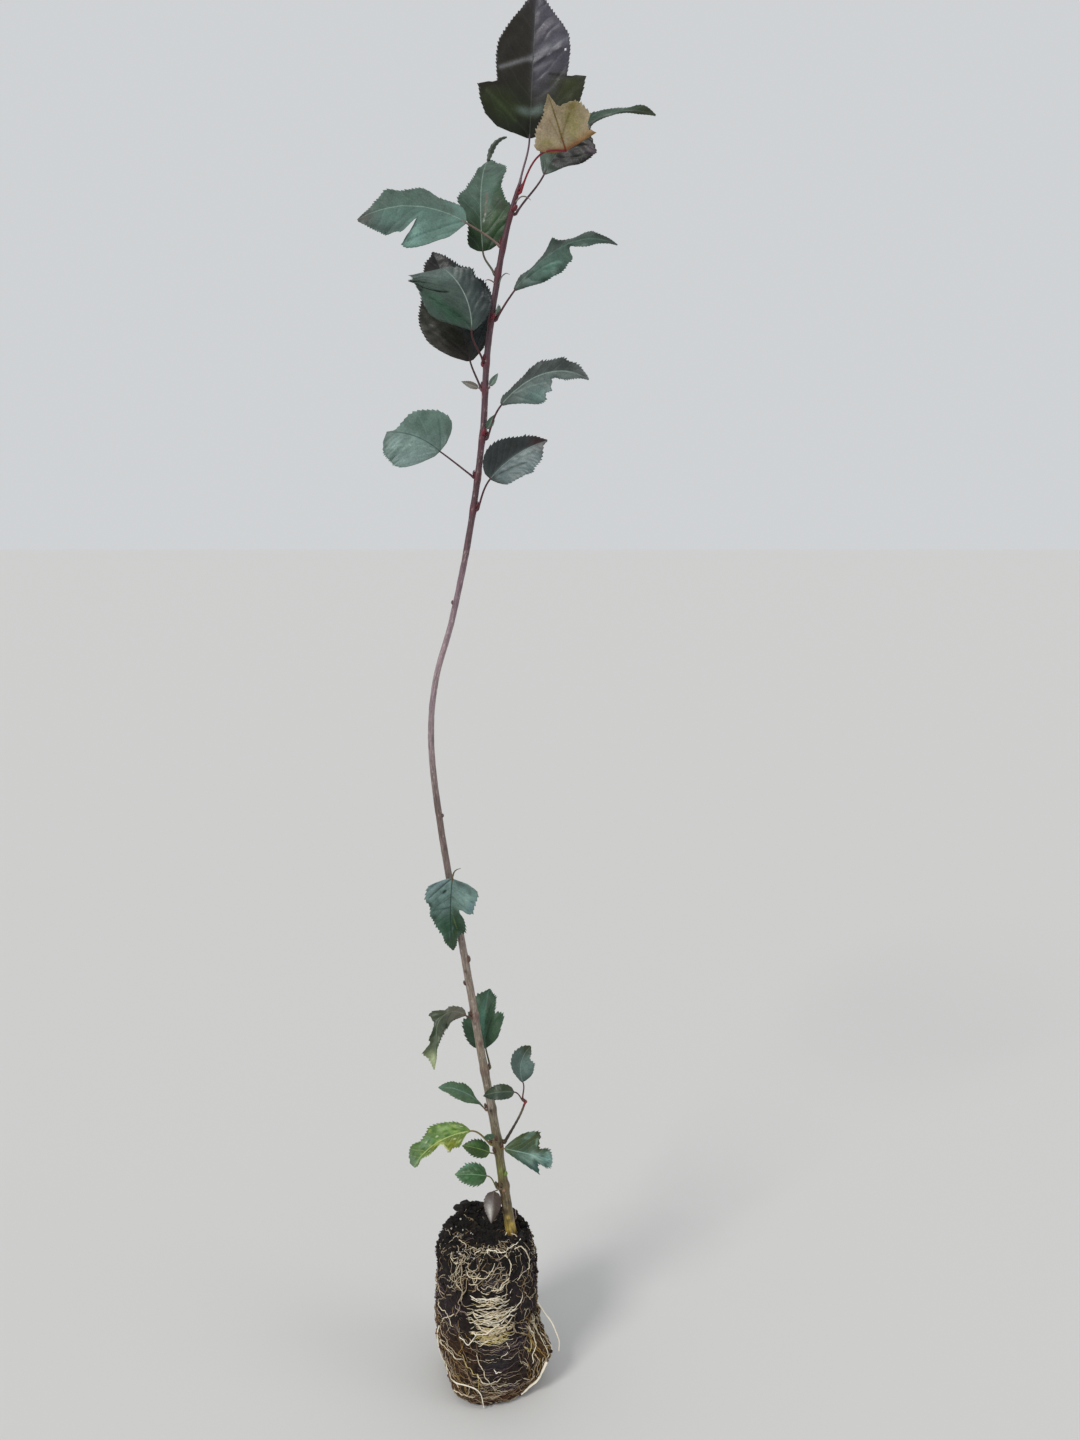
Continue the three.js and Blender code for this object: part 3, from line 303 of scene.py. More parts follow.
# Each leaf by the part's rules, then its looks: colours of the blade's left and right side, of its base,
# tip, veins, stalk and underside, waves along the margin, and the strength of its side veins and midrib.
# outline holds (share, half width left, half width right), and patches (share, column, length, width,
# colour, strength). lines run from one (share, column) to another, with reach, depth, colour and strength.
# speckles are (count, size, colour, strength), and holes (share, column, length, width).
LEAVES = {
    "leaf_top": dict(
        LEAF, node=706, at_tip=True, base=(28, 1, 729), heading=87, toward=12, length=72, width=56,
        lobes=(0.9, 0.9), droop=25, fold=12, sweep=0.2, skew=0.11,
        # The right half is painted lighter than the left, partly as light on its fold
        left="#33312a", right="#514f58", base_colour="#2a2d17", base_reach=0.4, tip="#45434c",
        vein="#666b63", stalk="#6a5560", under="#5c6454", wave=0.55, veins=0.1, midrib=0.32,
        patches=[
            (0.75, -0.5, 0.3, 0.5, "#33302a", 0.7), (0.75, 0.5, 0.3, 0.5, "#535059", 0.6),
            # The two small teal patches at share 0.17 are painted highlights
            (0.17, -0.16, 0.028, 0.18, "#6f7d78", 0.85), (0.17, 0.14, 0.028, 0.18, "#717f7a", 0.85),
            (0.3, 0.42, 0.07, 0.35, "#474449", 0.75), (0.25, 0.72, 0.09, 0.3, "#3d4324", 0.85),
            (0.3, -0.85, 0.05, 0.25, "#2e251d", 0.8), (0.19, -0.6, 0.11, 0.4, "#394120", 0.8),
        ],
        lines=[
            # The light grey lines across the middle are painted highlights along the crease
            (0.42, -0.9, 0.52, -0.06, 1.1, 0.25, "#77777a", 0.75),
            (0.52, -0.06, 0.56, 0.46, 1.5, 0.3, "#85858b", 0.8),
            (0.56, 0.46, 0.57, 0.92, 1.9, 0.2, "#6f6f78", 0.65),
            (0.48, 0.1, 0.52, 0.75, 0.9, -0.25, "#37363c", 0.7),
            (0.44, 0.05, 0.46, 0.55, 0.9, 0.15, "#707076", 0.6),
            (0.38, 0.5, 0.32, 1, 0.7, -0.2, "#25241f", 0.8),
            (0.1, -0.33, 0.26, -0.87, 0.75, 0.15, "#4a5544", 0.5),
            (0.1, 0.3, 0.25, 0.8, 0.75, 0.15, "#4d5448", 0.45),
        ],
        holes=[(0.5, 0.86, 0.007, 0.03)]),
    "leaf_bronze": dict(
        LEAF, node=702, side=330, base=(46.9, -11, 718.8), heading=109, toward=5, roll=180, length=31,
        width=33, droop=70, curve=-9, fold=-8, sweep=0.5, arrive=8, rise=0.5, bow=9,
        outline=[
            (0, 1.05, 0.45), (0.05, 0.87, 0.85), (0.125, 0.86, 0.87), (0.175, 1, 0.8), (0.25, 0.94, 0.73),
            (0.375, 0.82, 0.57), (0.5, 0.65, 0.42), (0.575, 0.42, 0.34), (0.65, 0.18, 0.27),
            (0.8, 0.08, 0.14), (1, 0.02, 0.02),
        ],
        left="#3a4428", right="#3c4630", base_colour="#323a22", base_reach=0.3, tip="#4a4226",
        vein="#8a7a42", stalk="#7a1f2c", under="#b0a085", under_tip="#a09274", under_base="#92794f",
        under_vein="#6f6534", wave=1, midrib=0.7,
        patches=[
            (0.5, 0.6, 0.3, 0.35, "#b8a589", 0.8), (0.36, -0.5, 0.14, 0.3, "#989056", 0.7),
            (0.45, -0.8, 0.1, 0.2, "#7b7030", 0.8), (0.18, -0.45, 0.12, 0.3, "#a09862", 0.7),
            (0.14, 0.6, 0.06, 0.3, "#868048", 0.7), (0.02, 0, 0.035, 0.9, "#8a5036", 0.8),
        ],
        lines=[
            (0.14, 0.1, 0.4, -0.55, 0.4, 0.2, "#6b6128", 0.7),
            (0.2, 0.1, 0.5, 0.5, 0.4, 0.15, "#8f7448", 0.5),
        ]),
    "leaf_slim_right": dict(
        LEAF, node=692, base=(35.7, 3, 712.1), heading=63, toward=-5, roll=-22, length=72, width=34,
        droop=-30, curve=-96, fold=8,
        outline=[
            (0, 0.05, 0.06), (0.05, 0.27, 0.35), (0.1, 0.47, 0.58), (0.15, 0.5, 0.88), (0.225, 0.49, 1),
            (0.3, 0.45, 1), (0.35, 0.38, 0.95), (0.4, 0.32, 0.6), (0.45, 0.26, 0.22), (0.5, 0.21, 0.09),
            (0.6, 0.14, 0.08), (0.7, 0.09, 0.07), (0.775, 0.07, 0.07), (0.85, 0.14, 0.09),
            (0.9, 0.15, 0.08), (1, 0.02, 0.02),
        ],
        left="#4c5c52", right="#25281f", base_colour="#4c5b52", base_reach=0.1, tip="#454a3c",
        vein="#5f7268", stalk="#4b3138", under="#6c7568", wave=0.25, veins=0.1, midrib=0.4,
        patches=[
            (0.2, 0.6, 0.14, 0.6, "#1c1f19", 0.9), (0.65, 0, 0.16, 0.9, "#5f6f66", 0.8),
            (0.33, 0.9, 0.05, 0.3, "#5f545c", 0.9), (0.9, 0, 0.06, 1, "#3a3f32", 0.8),
        ]),
    "leaf_upright": dict(
        LEAF, node=661, base=(2.8, 6, 674.3), heading=95, toward=0, length=70, width=30, droop=65,
        curve=-12, fold=12,
        outline=[
            (0, 0.2, 0.3), (0.025, 0.45, 0.6), (0.075, 0.5, 0.92), (0.15, 0.45, 1.1), (0.25, 0.57, 1.15),
            (0.325, 0.8, 0.92), (0.4, 0.7, 0.82), (0.475, 0.55, 0.73), (0.6, 0.35, 0.85),
            (0.725, 0.2, 0.77), (0.825, 0.12, 0.5), (0.9, 0.08, 0.23), (1, 0.02, 0.02),
        ],
        spur=dict(
            share=1, radius=1.7, course=[(0.8, 0, 4), (3.2, -1, 8), (6.8, -1, 10.8), (10, -1, 11.8)],
            colour="#4a5248"),
        left="#4d5f55", right="#4b5f54", base_colour="#2b3f26", base_reach=0.35, tip="#56665d",
        vein="#92a699", stalk="#4a4a3c", under="#7c8a74", wave=1, veins=0.15, teeth=1.3,
        patches=[
            (0.46, 0.46, 0.14, 0.4, "#5c766b", 0.8), (0.18, 0.5, 0.14, 0.45, "#2d4a22", 0.85),
            # The dark red-brown patch at share 0.32 is painted shade beside the stem
            (0.22, -0.4, 0.12, 0.4, "#2c4028", 0.6), (0.32, 0.75, 0.07, 0.2, "#3a2c28", 0.7),
            (0.5, -0.5, 0.2, 0.4, "#53675c", 0.6), (0.06, -0.6, 0.05, 0.3, "#22311c", 0.6),
            (0.4, 0.85, 0.12, 0.4, "#394d38", 0.8),
        ],
        lines=[
            (0.26, 0.13, 0.44, 0.3, 0.3, 0.1, "#8a5a4e", 0.6),
            (0.22, 0.1, 0.27, 0.16, 0.3, 0, "#b9c6ba", 0.7),
        ]),
    "leaf_long_left": dict(
        LEAF, node=675, base=(-5.5, -1, 686.8), heading=151.5, toward=8, roll=22, length=60, width=31,
        droop=10, curve=63, fold=6, sweep=0.6,
        outline=[
            (0, 0.1, 0.05), (0.025, 0.75, 0.3), (0.075, 1.08, 0.42), (0.15, 1.5, 0.42),
            (0.225, 1.65, 0.42), (0.275, 1.6, 0.6), (0.325, 1.35, 0.68), (0.375, 0.5, 0.6),
            (0.425, 0.95, 0.55), (0.5, 0.96, 0.5), (0.6, 0.95, 0.58), (0.7, 0.85, 0.4), (0.8, 0.65, 0.22),
            (0.9, 0.38, 0.1), (1, 0.03, 0.02),
        ],
        left="#5f786f", right="#5b6d65", base_colour="#688279", tip="#59625d", vein="#8ca499",
        stalk="#75625a", under="#8d9c88", wave=0.8, veins=0.16, midrib=0.65, teeth=0.8,
        patches=[
            (0.28, -0.7, 0.1, 0.3, "#7ea096", 0.8), (0.2, -0.85, 0.1, 0.15, "#7b9c92", 0.6),
            (0.6, -0.1, 0.18, 0.5, "#587066", 0.6), (0.95, 0, 0.1, 0.9, "#544f4c", 0.8),
            # The small dark patch at share 0.34 is painted shade in the notch
            (0.34, -0.97, 0.03, 0.1, "#2b2e33", 0.9), (0.7, -0.85, 0.25, 0.18, "#414b47", 0.75),
            (0.5, 0.6, 0.15, 0.3, "#586c60", 0.6),
        ],
        lines=[
            (0.04, -0.04, 0.14, -0.43, 0.5, 0.3, "#44625a", 0.7),
            (0.14, -0.43, 0.28, -0.83, 0.5, 0.3, "#45625a", 0.7),
            (0.3, 0, 0.4, 0.8, 0.35, 0.1, "#4f6a5f", 0.5),
            (0.45, 0, 0.6, -0.8, 0.4, 0.15, "#50665c", 0.5),
        ]),
    "leaf_dark_front": dict(
        LEAF, node=616, base=(-2.8, -9, 631), heading=87, toward=4, length=37, width=42, droop=20,
        curve=57, fold=10, skew=-0.45,
        outline=[
            (0, 0.85, 0.05), (0.025, 1.05, 0.1), (0.075, 1.13, 0.2), (0.15, 1.19, 0.35),
            (0.225, 1.18, 0.45), (0.3, 1.2, 0.52), (0.425, 1.15, 0.48), (0.575, 1.05, 0.45),
            (0.675, 0.95, 0.41), (0.75, 0.85, 0.45), (0.85, 0.74, 0.28), (0.925, 0.7, 0.15),
            (1, 0.66, 0.03),
        ],
        left="#495650", right="#454f4d", base_colour="#46544e", tip="#626d6a", vein="#a9b9b1",
        stalk="#4c262a", under="#70796c", wave=0.55, veins=0.08, midrib=0.5, teeth=1.5,
        patches=[
            (0.12, -0.4, 0.1, 0.3, "#2f4d3a", 0.85), (0.2, -0.7, 0.1, 0.25, "#3d5a48", 0.7),
            (0.84, -0.29, 0.14, 0.4, "#66756f", 0.8), (0.42, 0.9, 0.4, 0.4, "#2f3436", 0.85),
            (0.3, -0.97, 0.06, 0.08, "#2b312f", 0.8), (0.5, 0.3, 0.2, 0.25, "#4a5654", 0.6),
        ],
        lines=[
            (0.04, 0, 0.12, -0.26, 0.45, 0.4, "#21402f", 0.8),
            (0.12, -0.26, 0.2, -0.79, 0.5, 0.4, "#22402f", 0.8),
            # The two near-black lines paint the slit in the left half as dark shade, in place of a cut
            (0.28, -0.84, 0.46, -0.33, 0.55, 0.9, "#0b0d0c", 1),
            (0.24, -0.93, 0.34, -0.84, 0.5, 0.5, "#121514", 0.9),
            (0.6, 0, 0.85, -0.8, 0.4, 0.2, "#4d5a55", 0.5),
            (0.25, 0.1, 0.45, 0.6, 0.4, 0.2, "#333e3c", 0.6),
        ]),
    "leaf_dark_behind": dict(
        LEAF, node=602, base=(-4.6, 5, 617.6), heading=104, toward=-10, length=70, width=39, droop=20,
        curve=10.5, fold=10,
        outline=[
            (0, 0.1, 0.1), (0.05, 0.5, 0.45), (0.15, 0.95, 0.77), (0.225, 1.07, 0.93),
            (0.325, 1.08, 1.08), (0.475, 0.88, 1), (0.55, 0.78, 0.83), (0.625, 0.68, 0.82),
            (0.675, 0.6, 0.63), (0.775, 0.48, 0.45), (0.875, 0.32, 0.28), (0.95, 0.1, 0.12),
            (1, 0.02, 0.02),
        ],
        left="#343530", right="#353a3b", base_colour="#373532", base_reach=0.3, tip="#33302e",
        vein="#262422", stalk="#3f2b2e", under="#5a5f55", wave=0.55, veins=0.1, teeth=1.4,
        patches=[
            (0.5, -0.6, 0.2, 0.3, "#3a3632", 0.6), (0.18, 0.6, 0.14, 0.35, "#40474a", 0.7),
            # The near-black patch at the tip is painted shade, dark enough to damp the sheen there
            (0.3, -0.8, 0.1, 0.2, "#3f3f3a", 0.6), (0.93, 0, 0.14, 0.9, "#131213", 0.95),
        ],
        lines=[
            (0.04, -0.05, 0.3, -0.8, 0.45, 0.25, "#242220", 0.75),
            (0.02, 0.1, 0.2, 0.8, 0.4, 0.2, "#2c3032", 0.6),
        ]),
    "leaf_high_right": dict(
        LEAF, node=638, base=(20.1, -3, 652.6), heading=51.5, toward=4, roll=-28, length=70.5, width=24,
        droop=-40, curve=-85, fold=-8,
        outline=[
            (0, 0.08, 0.06), (0.075, 0.22, 0.39), (0.15, 0.18, 0.7), (0.225, 0.16, 0.88),
            (0.3, 0.18, 0.95), (0.35, 0.38, 0.9), (0.4, 0.55, 0.8), (0.45, 0.32, 0.7), (0.5, 0.22, 0.58),
            (0.525, 0.2, 0.12), (0.6, 0.17, 0.22), (0.7, 0.28, 0.29), (0.8, 0.22, 0.18),
            (0.9, 0.12, 0.11), (1, 0.02, 0.02),
        ],
        left="#4f5955", right="#52665e", base_colour="#46514c", tip="#4d534f", vein="#6c8d80",
        stalk="#513038", under="#6f7d6d", wave=1.4, veins=0.12, midrib=0.35,
        patches=[
            (0.3, 0.55, 0.12, 0.35, "#567568", 0.8), (0.12, 0.5, 0.05, 0.4, "#5a7068", 0.7),
            (0.2, 0.92, 0.05, 0.15, "#22322b", 0.8), (0.34, 0.92, 0.05, 0.15, "#2c3c34", 0.8),
            (0.7, 0, 0.2, 0.8, "#4b5a52", 0.7), (0.42, -0.8, 0.06, 0.3, "#37443c", 0.7),
        ],
        lines=[
            (0.2, 0.2, 0.42, 0.75, 0.7, -0.3, "#648275", 0.7),
            (0.12, 0.15, 0.36, 0.4, 0.5, 0.3, "#2f463c", 0.7),
        ]),
    "leaf_mid_right": dict(
        LEAF, node=576, base=(12.7, -3, 593.6), heading=48.5, toward=6, roll=-28, length=59.5, width=26,
        droop=-27, curve=-84, fold=-5,
        outline=[
            (0, 0.1, 0.08), (0.05, 0.26, 0.28), (0.15, 0.23, 0.68), (0.25, 0.27, 1), (0.325, 0.36, 1.07),
            (0.375, 0.45, 0.98), (0.425, 0.57, 0.78), (0.5, 0.5, 0.72), (0.55, 0.48, 0.25),
            (0.65, 0.51, 0.28), (0.725, 0.4, 0.3), (0.8, 0.34, 0.24), (0.9, 0.2, 0.12), (1, 0.02, 0.02),
        ],
        left="#474d4b", right="#66726f", base_colour="#4a5450", base_reach=0.25, tip="#606766",
        vein="#8fa198", stalk="#4d3036", under="#747d70", wave=1.1, veins=0.12, midrib=0.7, teeth=1.4,
        patches=[
            (0.3, 0.7, 0.12, 0.35, "#66807a", 0.8), (0.42, 0.85, 0.06, 0.25, "#7d8f8d", 0.6),
            (0.6, -0.5, 0.2, 0.4, "#3e4543", 0.6), (0.95, 0, 0.06, 0.8, "#474347", 0.7),
        ],
        lines=[
            (0.15, 0.1, 0.48, 0.5, 0.45, 0.15, "#8b9c95", 0.55),
            (0.55, 0.1, 0.75, 0.5, 0.4, 0.1, "#6b7672", 0.5),
        ]),
    "leaf_round_left": dict(
        LEAF, node=555, base=(-21.2, -1, 569.1), heading=138, toward=12, roll=5, length=31.7, width=33,
        droop=30, curve=44, fold=5, skew=-0.15, arrive=145, rise=0,
        outline=[
            (0, 0.25, 0.35), (0.025, 0.42, 0.65), (0.075, 0.72, 0.93), (0.125, 0.95, 1.04),
            (0.2, 1.15, 1.08), (0.3, 1.18, 1.03), (0.425, 1.1, 0.9), (0.55, 1, 0.75), (0.65, 0.92, 0.55),
            (0.75, 0.82, 0.28), (0.85, 0.7, 0.08), (0.925, 0.55, 0.04), (1, 0.25, 0.02),
        ],
        left="#788c86", right="#657a72", base_colour="#72857e", tip="#677873", vein="#435c55",
        stalk="#4c3036", under="#8b9a86", wave=0.7, veins=0.12, midrib=0.8,
        patches=[
            (0.6, -0.4, 0.25, 0.4, "#7f958f", 0.6), (0.4, 0.6, 0.2, 0.3, "#587064", 0.7),
            (0.2, -0.7, 0.12, 0.3, "#879b99", 0.6), (0.9, -0.8, 0.1, 0.2, "#3c4f4b", 0.5),
            (0.1, 0.8, 0.06, 0.2, "#4f6358", 0.6),
        ],
        lines=[
            (0.08, -0.09, 0.9, -0.98, 0.3, 0.12, "#97ada5", 0.55),
            (0.02, 0.12, 0.24, 0.77, 0.45, 0.3, "#4a655c", 0.7),
            (0.3, 0.15, 0.5, 0.8, 0.35, 0.12, "#7f988e", 0.4),
            (0.05, -0.2, 0.25, -0.8, 0.3, 0.1, "#9aadaa", 0.4),
        ]),
    "leaf_folded_right": dict(
        LEAF, node=538, base=(6.3, -5, 554.2), heading=50, toward=10, roll=-8, length=38, width=28,
        droop=10, curve=-34, fold=25,
        outline=[
            (0, 0.3, 0.1), (0.025, 0.42, 0.4), (0.075, 0.62, 0.7), (0.175, 0.85, 0.85),
            (0.275, 0.88, 0.92), (0.375, 0.83, 0.97), (0.475, 0.7, 1.04), (0.575, 0.57, 0.87),
            (0.7, 0.45, 0.75), (0.825, 0.3, 0.45), (0.9, 0.17, 0.17), (1, 0.02, 0.02),
        ],
        # The halves are painted partly as light and shade of the fold: the right one lit, the left one
        # shaded
        left="#3d4142", right="#6b7878", base_colour="#454c4b", base_reach=0.12, tip="#46393c",
        vein="#7f8c8b", stalk="#4c2a30", under="#6d756a", wave=0.9, veins=0.1, midrib=0.7, teeth=1.4,
        patches=[
            (0.6, 0.3, 0.2, 0.3, "#7a8886", 0.75), (0.85, -0.4, 0.12, 0.5, "#46373a", 0.8),
            (0.3, 0.8, 0.15, 0.2, "#5a6866", 0.6), (0.5, -0.6, 0.2, 0.3, "#3b3d3c", 0.6),
        ],
        lines=[
            (0.04, 0.14, 0.52, 0.57, 0.6, 0.35, "#3a4644", 0.85),
            (0.3, 0.15, 0.75, 0.4, 0.45, 0.2, "#55625f", 0.6),
        ]),
    "leaf_hanging": dict(
        LEAF, node=321, side=290, base=(-17.3, -6, 327.5), heading=263, toward=4, length=44, width=30,
        droop=10, curve=14, fold=8, sweep=0.5, skew=-0.2,
        outline=[
            (0, 0.6, 0.2), (0.025, 0.95, 0.45), (0.075, 1.04, 0.85), (0.15, 0.96, 0.95),
            (0.225, 0.9, 0.96), (0.275, 0.8, 0.82), (0.325, 0.32, 0.77), (0.4, 0.46, 0.77),
            (0.475, 0.54, 0.7), (0.6, 0.54, 0.54), (0.675, 0.35, 0.42), (0.75, 0.22, 0.31),
            (0.875, 0.16, 0.23), (1, 0.02, 0.03),
        ],
        spur=dict(
            share=0, radius=0.5, course=[(0.6, 0, 3), (2.4, -1, 5.6), (5, -2, 6.8)], colour="#5b5236"),
        left="#4a6052", right="#50675c", base_colour="#738a85", base_reach=0.42, tip="#42503a",
        vein="#2b3f3c", stalk="#5a4a3a", under="#84927f", wave=1.1, veins=0.55, midrib=0.85, teeth=1.3,
        speckles=[(22, 0.035, "#33494a", 0.4), (14, 0.035, "#6d8385", 0.25)],
        patches=[
            (0.62, -0.4, 0.2, 0.6, "#26381f", 0.9), (0.65, 0.4, 0.2, 0.5, "#34523c", 0.85),
            (0.88, 0, 0.15, 0.9, "#3c4e38", 0.8), (0.05, 0.75, 0.05, 0.3, "#6d8085", 0.75),
            (0.38, 0.25, 0.12, 0.4, "#6b7f7c", 0.7), (0.03, -0.4, 0.05, 0.4, "#3b4747", 0.8),
            (0.17, -0.65, 0.12, 0.4, "#829c94", 0.85), (0.2, -0.9, 0.08, 0.15, "#647a84", 0.6),
            (0.28, 0.95, 0.05, 0.1, "#24362e", 0.8),
        ],
        lines=[
            # The first line paints a hole as a near-black spot of shade, in place of a cut
            (0.15, 0.25, 0.172, 0.3, 0.8, -0.5, "#070b0a", 1),
            (0, 0.15, 0.2, 0.85, 0.4, 0.35, "#2c423f", 0.85),
            (0, 0.35, 0.16, 0.98, 0.5, -0.3, "#77898c", 0.5),
            (0.4, 0.05, 0.36, 0.8, 0.35, 0.2, "#33504a", 0.7),
            (0.22, 0.08, 0.3, 0.6, 0.3, 0.15, "#3d5652", 0.6),
            (0.1, -0.1, 0.14, -0.9, 0.3, 0.15, "#45625c", 0.6),
            (0.24, -0.05, 0.26, -0.8, 0.3, 0.15, "#45625c", 0.6),
            (0.45, -0.1, 0.62, -0.5, 0.25, 0.1, "#6f8456", 0.6),
        ]),
    "leaf_arching": dict(
        LEAF, node=240, base=(-10.7, -6, 243.1), heading=138.5, toward=5, roll=25, length=46, width=15,
        droop=25, curve=124, bend_end=0.5, fold=-15,
        outline=[
            (0, 0.1, 0.1), (0.05, 0.45, 0.35), (0.1, 0.6, 0.38), (0.2, 0.78, 0.4), (0.25, 0.88, 0.28),
            (0.3, 0.88, 0.6), (0.35, 0.82, 0.9), (0.425, 0.72, 0.3), (0.525, 0.55, 0.32),
            (0.6, 0.4, 0.55), (0.65, 0.3, 0.45), (0.7, 0.2, 0.75), (0.75, 0.12, 1), (0.85, 0.12, 0.45),
            (1, 0.02, 0.05),
        ],
        # The pale yellow-green tip, here and in the patch at share 0.92, is painted light shining through
        # the thin blade
        left="#4b5245", right="#454d3b", base_colour="#5f5e54", base_reach=0.3, tip="#98a27c",
        vein="#6f7c64", stalk="#5b4640", under="#5f6a50", wave=1, veins=0.12, midrib=0.5, teeth=1.5,
        patches=[
            (0.15, 0, 0.14, 0.9, "#66625a", 0.8), (0.5, 0.4, 0.15, 0.4, "#344434", 0.7),
            (0.92, 0, 0.12, 0.9, "#a0aa80", 0.85), (0.72, -0.5, 0.12, 0.4, "#566a48", 0.6),
        ],
        lines=[
            (0.3, 0.1, 0.42, 0.8, 0.35, 0.15, "#2c382c", 0.6),
            (0.2, -0.1, 0.32, -0.8, 0.35, 0.15, "#33392e", 0.6),
        ]),
    "leaf_behind_stem": dict(
        LEAF, node=205, side=20, base=(0.5, 6, 216.3), heading=99, toward=-5, length=36, width=24,
        droop=40, curve=-23, fold=18, sweep=0.5, skew=0.3,
        outline=[
            (0, 0.1, 0.08), (0.025, 0.5, 0.33), (0.075, 0.7, 0.7), (0.15, 0.87, 0.88), (0.25, 1.02, 1.08),
            (0.375, 1.08, 0.82), (0.425, 0.92, 0.58), (0.575, 0.7, 0.54), (0.725, 0.69, 0.47),
            (0.8, 0.54, 0.36), (0.9, 0.25, 0.18), (1, 0.02, 0.02),
        ],
        left="#455a48", right="#475c49", base_colour="#3f5241", base_reach=0.15, tip="#3a4f3e",
        vein="#5f8270", stalk="#5a5a40", under="#71806c", wave=0.8, veins=0.14, midrib=0.45, teeth=1.6,
        patches=[
            (0.5, -0.1, 0.4, 0.2, "#53796a", 0.8), (0.3, 0.7, 0.1, 0.3, "#2f4733", 0.6),
            (0.6, 0.7, 0.2, 0.2, "#46604a", 0.5),
        ],
        lines=[
            (0.15, 0.1, 0.4, 0.7, 0.4, 0.25, "#26402e", 0.7),
            (0.4, 0.05, 0.65, 0.6, 0.35, 0.2, "#2c4634", 0.6),
        ]),
    "leaf_small_left": dict(
        LEAF, node=180, base=(-1.2, -2, 182.3), heading=124, toward=8, roll=66, length=31.7, width=13,
        droop=80, fold=4,
        outline=[
            (0, 0.05, 0.05), (0.1, 0.2, 0.1), (0.175, 0.45, 0.15), (0.275, 0.78, 0.45), (0.4, 1, 0.78),
            (0.525, 0.95, 0.82), (0.7, 0.6, 0.73), (0.825, 0.45, 0.54), (0.925, 0.25, 0.3),
            (1, 0.03, 0.03),
        ],
        left="#52684f", right="#4c6349", base_colour="#4d5f4c", tip="#56705c", vein="#7d9483",
        stalk="#6a5a48", under="#75856f", wave=0.5, veins=0.18,
        patches=[(0.6, 0, 0.3, 0.4, "#54705f", 0.6)]),
    "leaf_shoot_left": dict(
        LEAF, on_shoot=True, base=(18, -6, 194), heading=160, toward=24, roll=50, length=21, width=9,
        lobes=(0, 0), droop=85, fold=4,
        left="#39453a", right="#3c4737", base_colour="#42493c", tip="#394234", vein="#6a7a6a",
        stalk="#4b302c", under="#66735f", wave=0.4, veins=0.15, midrib=0.5),
    "leaf_shoot_top": dict(
        LEAF, on_shoot=True, base=(23.1, -2, 198.5), heading=112, toward=-8, length=23.4, width=14,
        droop=10, curve=-70, fold=25,
        outline=[
            (0, 0.1, 0.3), (0.05, 0.2, 0.85), (0.15, 0.4, 1.2), (0.3, 0.75, 1.3), (0.475, 0.95, 1.2),
            (0.65, 0.87, 0.65), (0.825, 0.55, 0.48), (1, 0.05, 0.05),
        ],
        left="#55645f", right="#5a6c66", base_colour="#4a5a55", tip="#3a3f2c", vein="#7b9088",
        stalk="#5b3a34", under="#6d7a6e", wave=0.4, veins=0.15, midrib=0.5, teeth=1.3,
        patches=[(0.4, 0.4, 0.2, 0.4, "#657873", 0.6), (0.85, 0, 0.15, 0.8, "#3a4030", 0.9)]),
    "leaf_variegated": dict(
        LEAF, node=157, base=(-9.1, -3, 166.8), heading=185.5, toward=6, roll=30, length=44, width=20,
        droop=45, curve=44.5, fold=-12,
        outline=[
            (0, 0.06, 0.1), (0.05, 0.15, 0.38), (0.1, 0.45, 0.55), (0.15, 0.72, 0.67), (0.25, 0.68, 0.85),
            (0.325, 0.78, 0.95), (0.4, 0.28, 1), (0.475, 0.2, 0.98), (0.55, 0.23, 0.87),
            (0.65, 0.27, 0.73), (0.75, 0.18, 0.97), (0.85, 0.14, 1), (0.925, 0.16, 0.87), (1, 0.04, 0.35),
        ],
        left="#67773d", right="#587238", base_colour="#5f7a35", base_reach=0.12, tip="#556f52",
        vein="#b3c07c", stalk="#7a6a3c", under="#8f9c66", wave=0.8, veins=0.6, midrib=0.8, teeth=1.9,
        speckles=[(24, 0.035, "#a3b468", 0.6), (30, 0.045, "#3f6326", 0.7), (12, 0.022, "#d5dab2", 0.7)],
        patches=[
            (0.3, 0.6, 0.1, 0.4, "#8eaa6c", 0.75), (0.2, 0.3, 0.08, 0.3, "#6c9433", 0.8),
            (0.3, -0.7, 0.08, 0.3, "#8f8f2c", 0.8), (0.38, -0.9, 0.05, 0.3, "#cfd090", 0.8),
            (0.52, -0.4, 0.07, 0.3, "#a5a63c", 0.75), (0.48, 0.2, 0.1, 0.3, "#4f7a32", 0.75),
            (0.62, 0.5, 0.12, 0.4, "#7b967c", 0.7), (0.75, -0.3, 0.12, 0.4, "#557a48", 0.7),
            (0.95, 0, 0.12, 0.9, "#6a8064", 0.8), (0.7, -0.9, 0.2, 0.2, "#a3b070", 0.5),
        ]),
    "leaf_low_left": dict(
        LEAF, node=152, base=(3, -7, 155), heading=145, toward=16, roll=50, length=18, width=10,
        lobes=(0, 0), droop=60, fold=8,
        left="#38492a", right="#2b3a20", base_colour="#44552c", tip="#43562c", vein="#6f8a4c",
        stalk="#6a6a3c", under="#71804f", wave=0.4, veins=0.3, midrib=0.7, teeth=1.4,
        speckles=[(8, 0.08, "#4d6636", 0.4)],
        patches=[(0.6, 0.5, 0.3, 0.3, "#4c7a3a", 0.5)]),
    "leaf_tiny_front": dict(
        LEAF, node=160, side=270, base=(4, -6, 163), heading=110, toward=30, roll=180, length=8, width=6,
        lobes=(0, 0), droop=10, fold=8,
        left="#486548", right="#4c6a4e", base_colour="#486548", base_reach=0.1, tip="#567a60",
        vein="#7fa68b", stalk="#6a5a48", under="#566f58", wave=0.2),
    "leaf_low_right": dict(
        LEAF, node=155, side=310, base=(12, -6, 157), heading=-6, toward=10, roll=-38, length=32,
